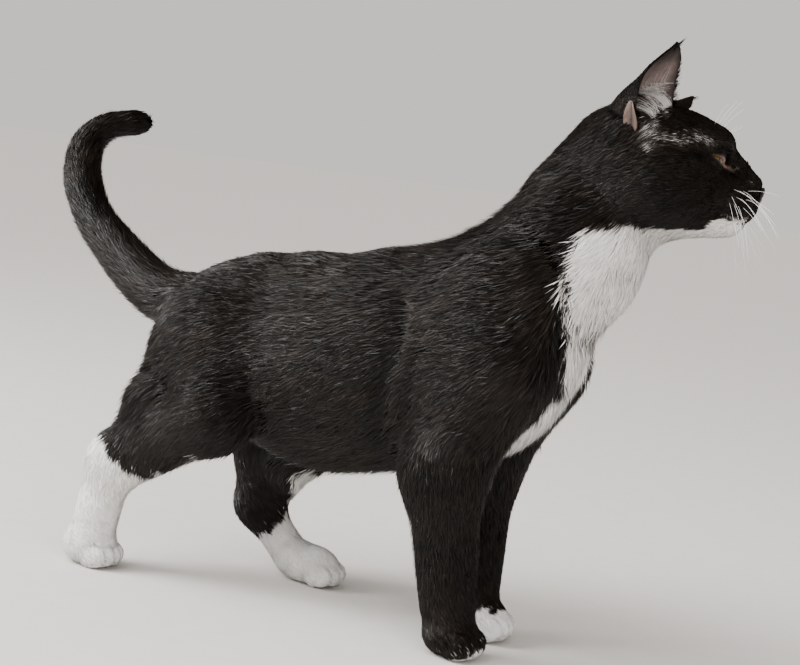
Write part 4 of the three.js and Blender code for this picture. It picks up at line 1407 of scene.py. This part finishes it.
def studio_world():
    """Soft light from all round; the camera sees a plain backdrop, and glossy surfaces a darker room."""
    world = bpy.data.worlds.new("studio")
    world.use_nodes = True
    background = world.node_tree.nodes["Background"]
    background.inputs["Strength"].default_value = 1.0
    n = Nodes(world.node_tree, background)
    rays = n.add("ShaderNodeLightPath").outputs
    seen = n.mix(rays["Is Camera Ray"], AMBIENT, BACKDROP)
    n.link(n.mix(rays["Is Glossy Ray"], seen, GLOSS), background.inputs["Color"])
    bpy.context.scene.world = world


def studio_lights():
    sun = new_object("sun", bpy.data.lights.new("sun", "SUN"))
    sun.data.energy, sun.data.angle = 2.4, math.radians(60)
    sun.visible_glossy = False
    sun.rotation_euler = Vector((-0.35, -0.5, 0.8)).to_track_quat("Z", "Y").to_euler()
    area_light("key", (-0.9, -0.6, 0.5), 1.6, 0.8, 30)
    area_light("fill", (0.8, -0.8, 0.25), 1.8, 1.4, 22, glossy=False)


# ------------------------------------------------------------------ hair of the ears, and whiskers
EAR_TUFTS = 6500
EAR_HAIR, EAR_TUFT_WIDTH = 3.0, 0.24
EAR_LENGTH = 42  # about, from base to tip
FAN_HAIRS, LOW_HAIRS, FOOT_HAIRS = 150, 230, 260


def ear_coat(side, material, name):
    """Short hair over the back of the ear, running to its tip and margins and standing past its rim."""
    n = int(EAR_TUFTS * quick_share)
    u, v = rng.uniform(0.0, 0.985, n), rng.uniform(-1, 1, n)
    on_rim = rng.random(n) < 0.14
    v = np.where(on_rim, np.sign(v) * rng.uniform(0.93, 1.0, n), v)
    hair = EAR_HAIR * rng.uniform(0.7, 1.25, n) * (1 - 0.35 * u)
    spread = v * 0.045 + rng.normal(0, 0.02, n)
    du = 0.045 * hair / EAR_HAIR + rng.normal(0, 0.006, n)

    to_tip = unit(ear_sheet(side, np.ones(1), np.zeros(1)) - ear_sheet(side, np.full(1, 0.9), np.zeros(1)))

    def behind(u, v, stand):
        """Points over the ear's back, also past its tip and its margins, and the way out from it."""
        v = np.clip(v, -1.12, 1.12)
        on_u, on_v = np.clip(u, 0, 1), np.clip(v, -1, 1)
        at = ear_back_at(on_u, on_v) + stand
        backwards = ear_backwards(side, np.clip(u, 0, 0.99), on_v)
        rim = ear_sheet(side, on_u, on_v)
        past = (u - on_u)[:, None] * EAR_LENGTH * to_tip
        side_step = rim - ear_sheet(side, on_u, on_v * 0.9)
        return rim + backwards * at[:, None] + past + side_step * (np.abs(v - on_v) * 10)[:, None], backwards

    root, _ = behind(u, v, np.full(n, -0.25))
    middle, up_middle = behind(u + du * 0.5, v + spread * 0.5, rng.uniform(0.25, 0.55, n))
    tip, _ = behind(u + du, v + spread, rng.uniform(0.3, 0.9, n))
    up_middle = up_middle @ HEAD_TURN.T
    shade = np.clip(rng.normal(0.34, 0.14, n), 0, 0.65)
    place = np.stack([0.02 + 0.95 * u, 0.02 + 0.95 * (v + 1) / 2], axis=1)
    coat_piece(name, material, from_head(root), from_head(middle), from_head(tip), up_middle,
               np.full(n, EAR_TUFT_WIDTH), shade, place)


# The line that the pale hairs of the ear's foot grow along, from the front margin down and back.
EAR_FOOT = [(-5.5, 15.5, 30), (-7, 20, 28), (-10, 24, 24), (-13, 27, 18)]


def strand(side, u, v, du, dv, rise, bend, thick):
    """A long hair inside the ear, from (u, v) over the hollow by (du, dv), standing off it by rise."""
    t = np.linspace(0, 1, 7)
    uu, vv = np.clip(u + du * t**1.4, 0, 0.99), np.clip(v + dv * t, -1, 1)
    off = np.maximum(rise * np.sin(t * 2.6) + bend * t**2, 0.1)
    line = ear_sheet(side, uu, vv) - ear_backwards(side, uu, vv) * off[:, None]
    return tube(from_head(line), thick * (1 - t**1.5) + 0.015, 3)


def ear_hairs(side, material, name):
    """The long pale hairs that fan from the front margin over the hollow, thickest low down, and those that
    rise before the ear's foot."""
    parts = []
    few = 1
    for _ in range(int(FAN_HAIRS * few)):
        u = 0.03 + 0.38 * rng.random() ** 1.5
        parts.append(strand(side, u, rng.uniform(-0.99, -0.7), rng.normal(0.20, 0.08),
                            rng.uniform(0.1, 0.95), rng.uniform(0.8, 3.2), rng.uniform(-1.6, 1.6),
                            rng.uniform(0.03, 0.06)))
    for _ in range(int(LOW_HAIRS * few)):
        parts.append(strand(side, rng.uniform(0.0, 0.2), rng.uniform(-0.95, -0.1), rng.normal(0.2, 0.08),
                            rng.uniform(0.0, 0.5), rng.uniform(1.5, 5.0), rng.uniform(-1.0, 1.8),
                            rng.uniform(0.03, 0.06)))
    count = int(FOOT_HAIRS * few)
    with_ear = turn("Y", EAR_FORWARD[side] - EAR_FORWARD[RIGHT])
    base = EAR_BASE * (1, side, 1)
    feet = catmull(EAR_FOOT, rng.random(count)) * (1, side, 1) + rng.normal(0, 0.7, (count, 3))
    feet = to_head(settle(from_head((feet - base) @ with_ear.T + base), 1.2, 4)[0])
    for foot in feet:
        way = (-0.55 + rng.normal(0, 0.22), side * (0.5 + rng.normal(0, 0.12)), 0.8 + rng.normal(0, 0.15))
        points, faces = curved_hair(foot, with_ear @ way, with_ear @ (-0.5, side * -0.25, -0.2),
                                    rng.uniform(5, 13) * (1 if side == RIGHT else 0.6),
                                    rng.uniform(0.035, 0.06), 3, 7)
        parts.append((from_head(points), faces))
    points, faces = join(parts)
    make_piece(name, points, faces, [material], {"shade": np.full(len(points), 0.1)})


def ear_wisp(side, material, name):
    """A few dark hairs that stand past the tip of the ear."""
    tip, below = (ear_sheet(side, np.full(1, u), np.zeros(1))[0] for u in (0.99, 0.8))
    ahead = unit(tip - below)
    parts = []
    for _ in range(14):
        way = ahead + rng.normal(0, 0.1, 3) + (0.12, 0, 0.1)
        start = tip - ahead * rng.uniform(0.5, 3) + rng.normal(0, 0.25, 3)
        points, faces = curved_hair(start, way, (0.05, 0, 0.05), rng.uniform(3, 6.5), 0.13, 4, 6)
        parts.append((from_head(points), faces))
    points, faces = join(parts)
    make_piece(name, points, faces, [material], {"shade": np.full(len(points), 0.3)})


WHISKER_ROWS = 3
WHISKER_LONG = [20, 27, 33, 31]  # from the front of each row to its back


def curved_hair(root, way, droop, long, thick, sides=5, stations=11):
    """A tapered stiff hair that leaves its root one way and bends evenly towards another."""
    t = np.linspace(0, 1, stations)[:, None]
    line = root + unit(way) * long * t + np.asarray(droop, float) * long * t**2
    return tube(line, thick * (1 - t[:, 0]) ** 0.75 + 0.025, sides)


def whiskers(material):
    """Three rows of whiskers on each side, out forwards and bending down, and bristles over each eye."""
    for side, word in WORD.items():
        parts = []
        for row in range(WHISKER_ROWS):
            for i, long in enumerate(WHISKER_LONG):
                root = on_face(mirrored(side, (34 - 1.9 * i - 0.4 * row, 11 + 1.2 * i, -7 - 3 * row)))
                down = math.radians(2 + 20 * row + 11 * i + rng.normal(0, 9))
                way = (0.85 * math.cos(down), side * (0.62 + 0.1 * i + 0.1 * row), -0.85 * math.sin(down))
                droop = (0.02 + rng.normal(0, 0.06), side * -0.14, -0.45 * rng.uniform(0.3, 1.3))
                parts.append(curved_hair(root, way, droop, long * rng.uniform(0.8, 1.1), 0.07))
        for k in range(4):
            root = on_face(mirrored(side, (19 - 1.5 * k, 12 + 1.6 * k, 22 - k)))
            way = (0.55 - 0.3 * k / 3 + rng.normal(0, 0.05), side * (0.1 + 0.18 * k), 0.8)
            parts.append(curved_hair(root, way, (0.1, side * 0.05, -0.12), 17 - 2 * abs(k - 1), 0.075))
        points, faces = join([(from_head(p), f) for p, f in parts])
        make_piece(word + "_whiskers", points, faces, [material],
                   {"shade": np.full(len(points), 0.8)})


def on_face(p):
    """The point of the head's skin nearest to p."""
    at, _ = settle(from_head(p)[None], 0.8, 4)
    return to_head(at[0])


# ------------------------------------------------------------------ the finished cat
def skin_and_coat(black, white):
    """The skin of body and lids in one, in place of the nodes of flesh, and the coat that grows on it."""
    skin_points, skin_faces = skin_of_body()
    under_lids = np.zeros(len(skin_points), bool)
    for side in SIDES:
        under_lids |= inside_lids(side, skin_points, 2.5)
    kept = skin_faces[~under_lids[skin_faces].all(1)]
    sheets = [lids(side) for side in SIDES]
    points, faces = join([(skin_points, kept)] + [(p, f) for p, f, *_ in sheets])
    pink = np.concatenate([np.zeros(len(skin_points))] + [k for _, _, k, _ in sheets])
    bare = np.concatenate([np.zeros(len(skin_points))] + [k for *_, k in sheets])
    used = np.zeros(len(points), bool)
    used[faces] = True
    faces = (np.cumsum(used) - 1)[faces]
    points, pink, bare = points[used], pink[used], bare[used]
    bowl = in_ear(points)
    pink = np.maximum(pink, 0.16 * bowl)
    bare_skin = (np.arange(len(faces)) >= len(kept)) | (bowl[faces].max(1) > 0.01)
    coat(points, faces, normals_of(points), bare, (black, white))
    marks = smoothstep(whiteness(points), -0.7, 0.7)
    skin = make_piece("skin", points, faces, [skin_material(), lid_material()],
                      {"white": marks, "pink": pink}, face_material=bare_skin)
    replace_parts(skin, *FLESH)


def ears(black, white):
    ear_skin = ear_material()
    for side, word in WORD.items():
        points, faces, tint = ear_shell(side)
        pocket, pocket_faces, lip = ear_pocket(side)
        points, faces = join([(points, faces), (pocket, pocket_faces)])
        # the pocket's middle gets painted shade where its recess lies, and its lips their own warm tint
        tints = {"pink": np.concatenate([tint, 0.2 + 0.5 * lip]),
                 "warm": np.concatenate([0 * tint, lip**1.5])}
        ear = make_piece(word + "_ear_skin", points, faces, [ear_skin], tints)
        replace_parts(ear, word + "_ear")
        ear_coat(side, black, f"coat_{word}_ear")
        ear_hairs(side, white, f"{word}_ear_hairs")
        ear_wisp(side, black, f"{word}_ear_wisp")


def eyes():
    for side, word in WORD.items():
        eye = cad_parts[word + "_eye"]
        eye.data.materials.clear()
        eye.data.materials.append(eye_material(side))


def nose():
    points, faces = nose_pad()
    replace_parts(make_piece("nose_leather", points, faces, [nose_material()]), "nose")


def main():
    plain_floor()
    studio_world()
    studio_lights()
    place_camera()
    black, white = black_hair(), white_hair()
    skin_and_coat(black, white)
    ears(black, white)
    eyes()
    whiskers(white)
    nose()


main()
bpy.context.view_layer.update()
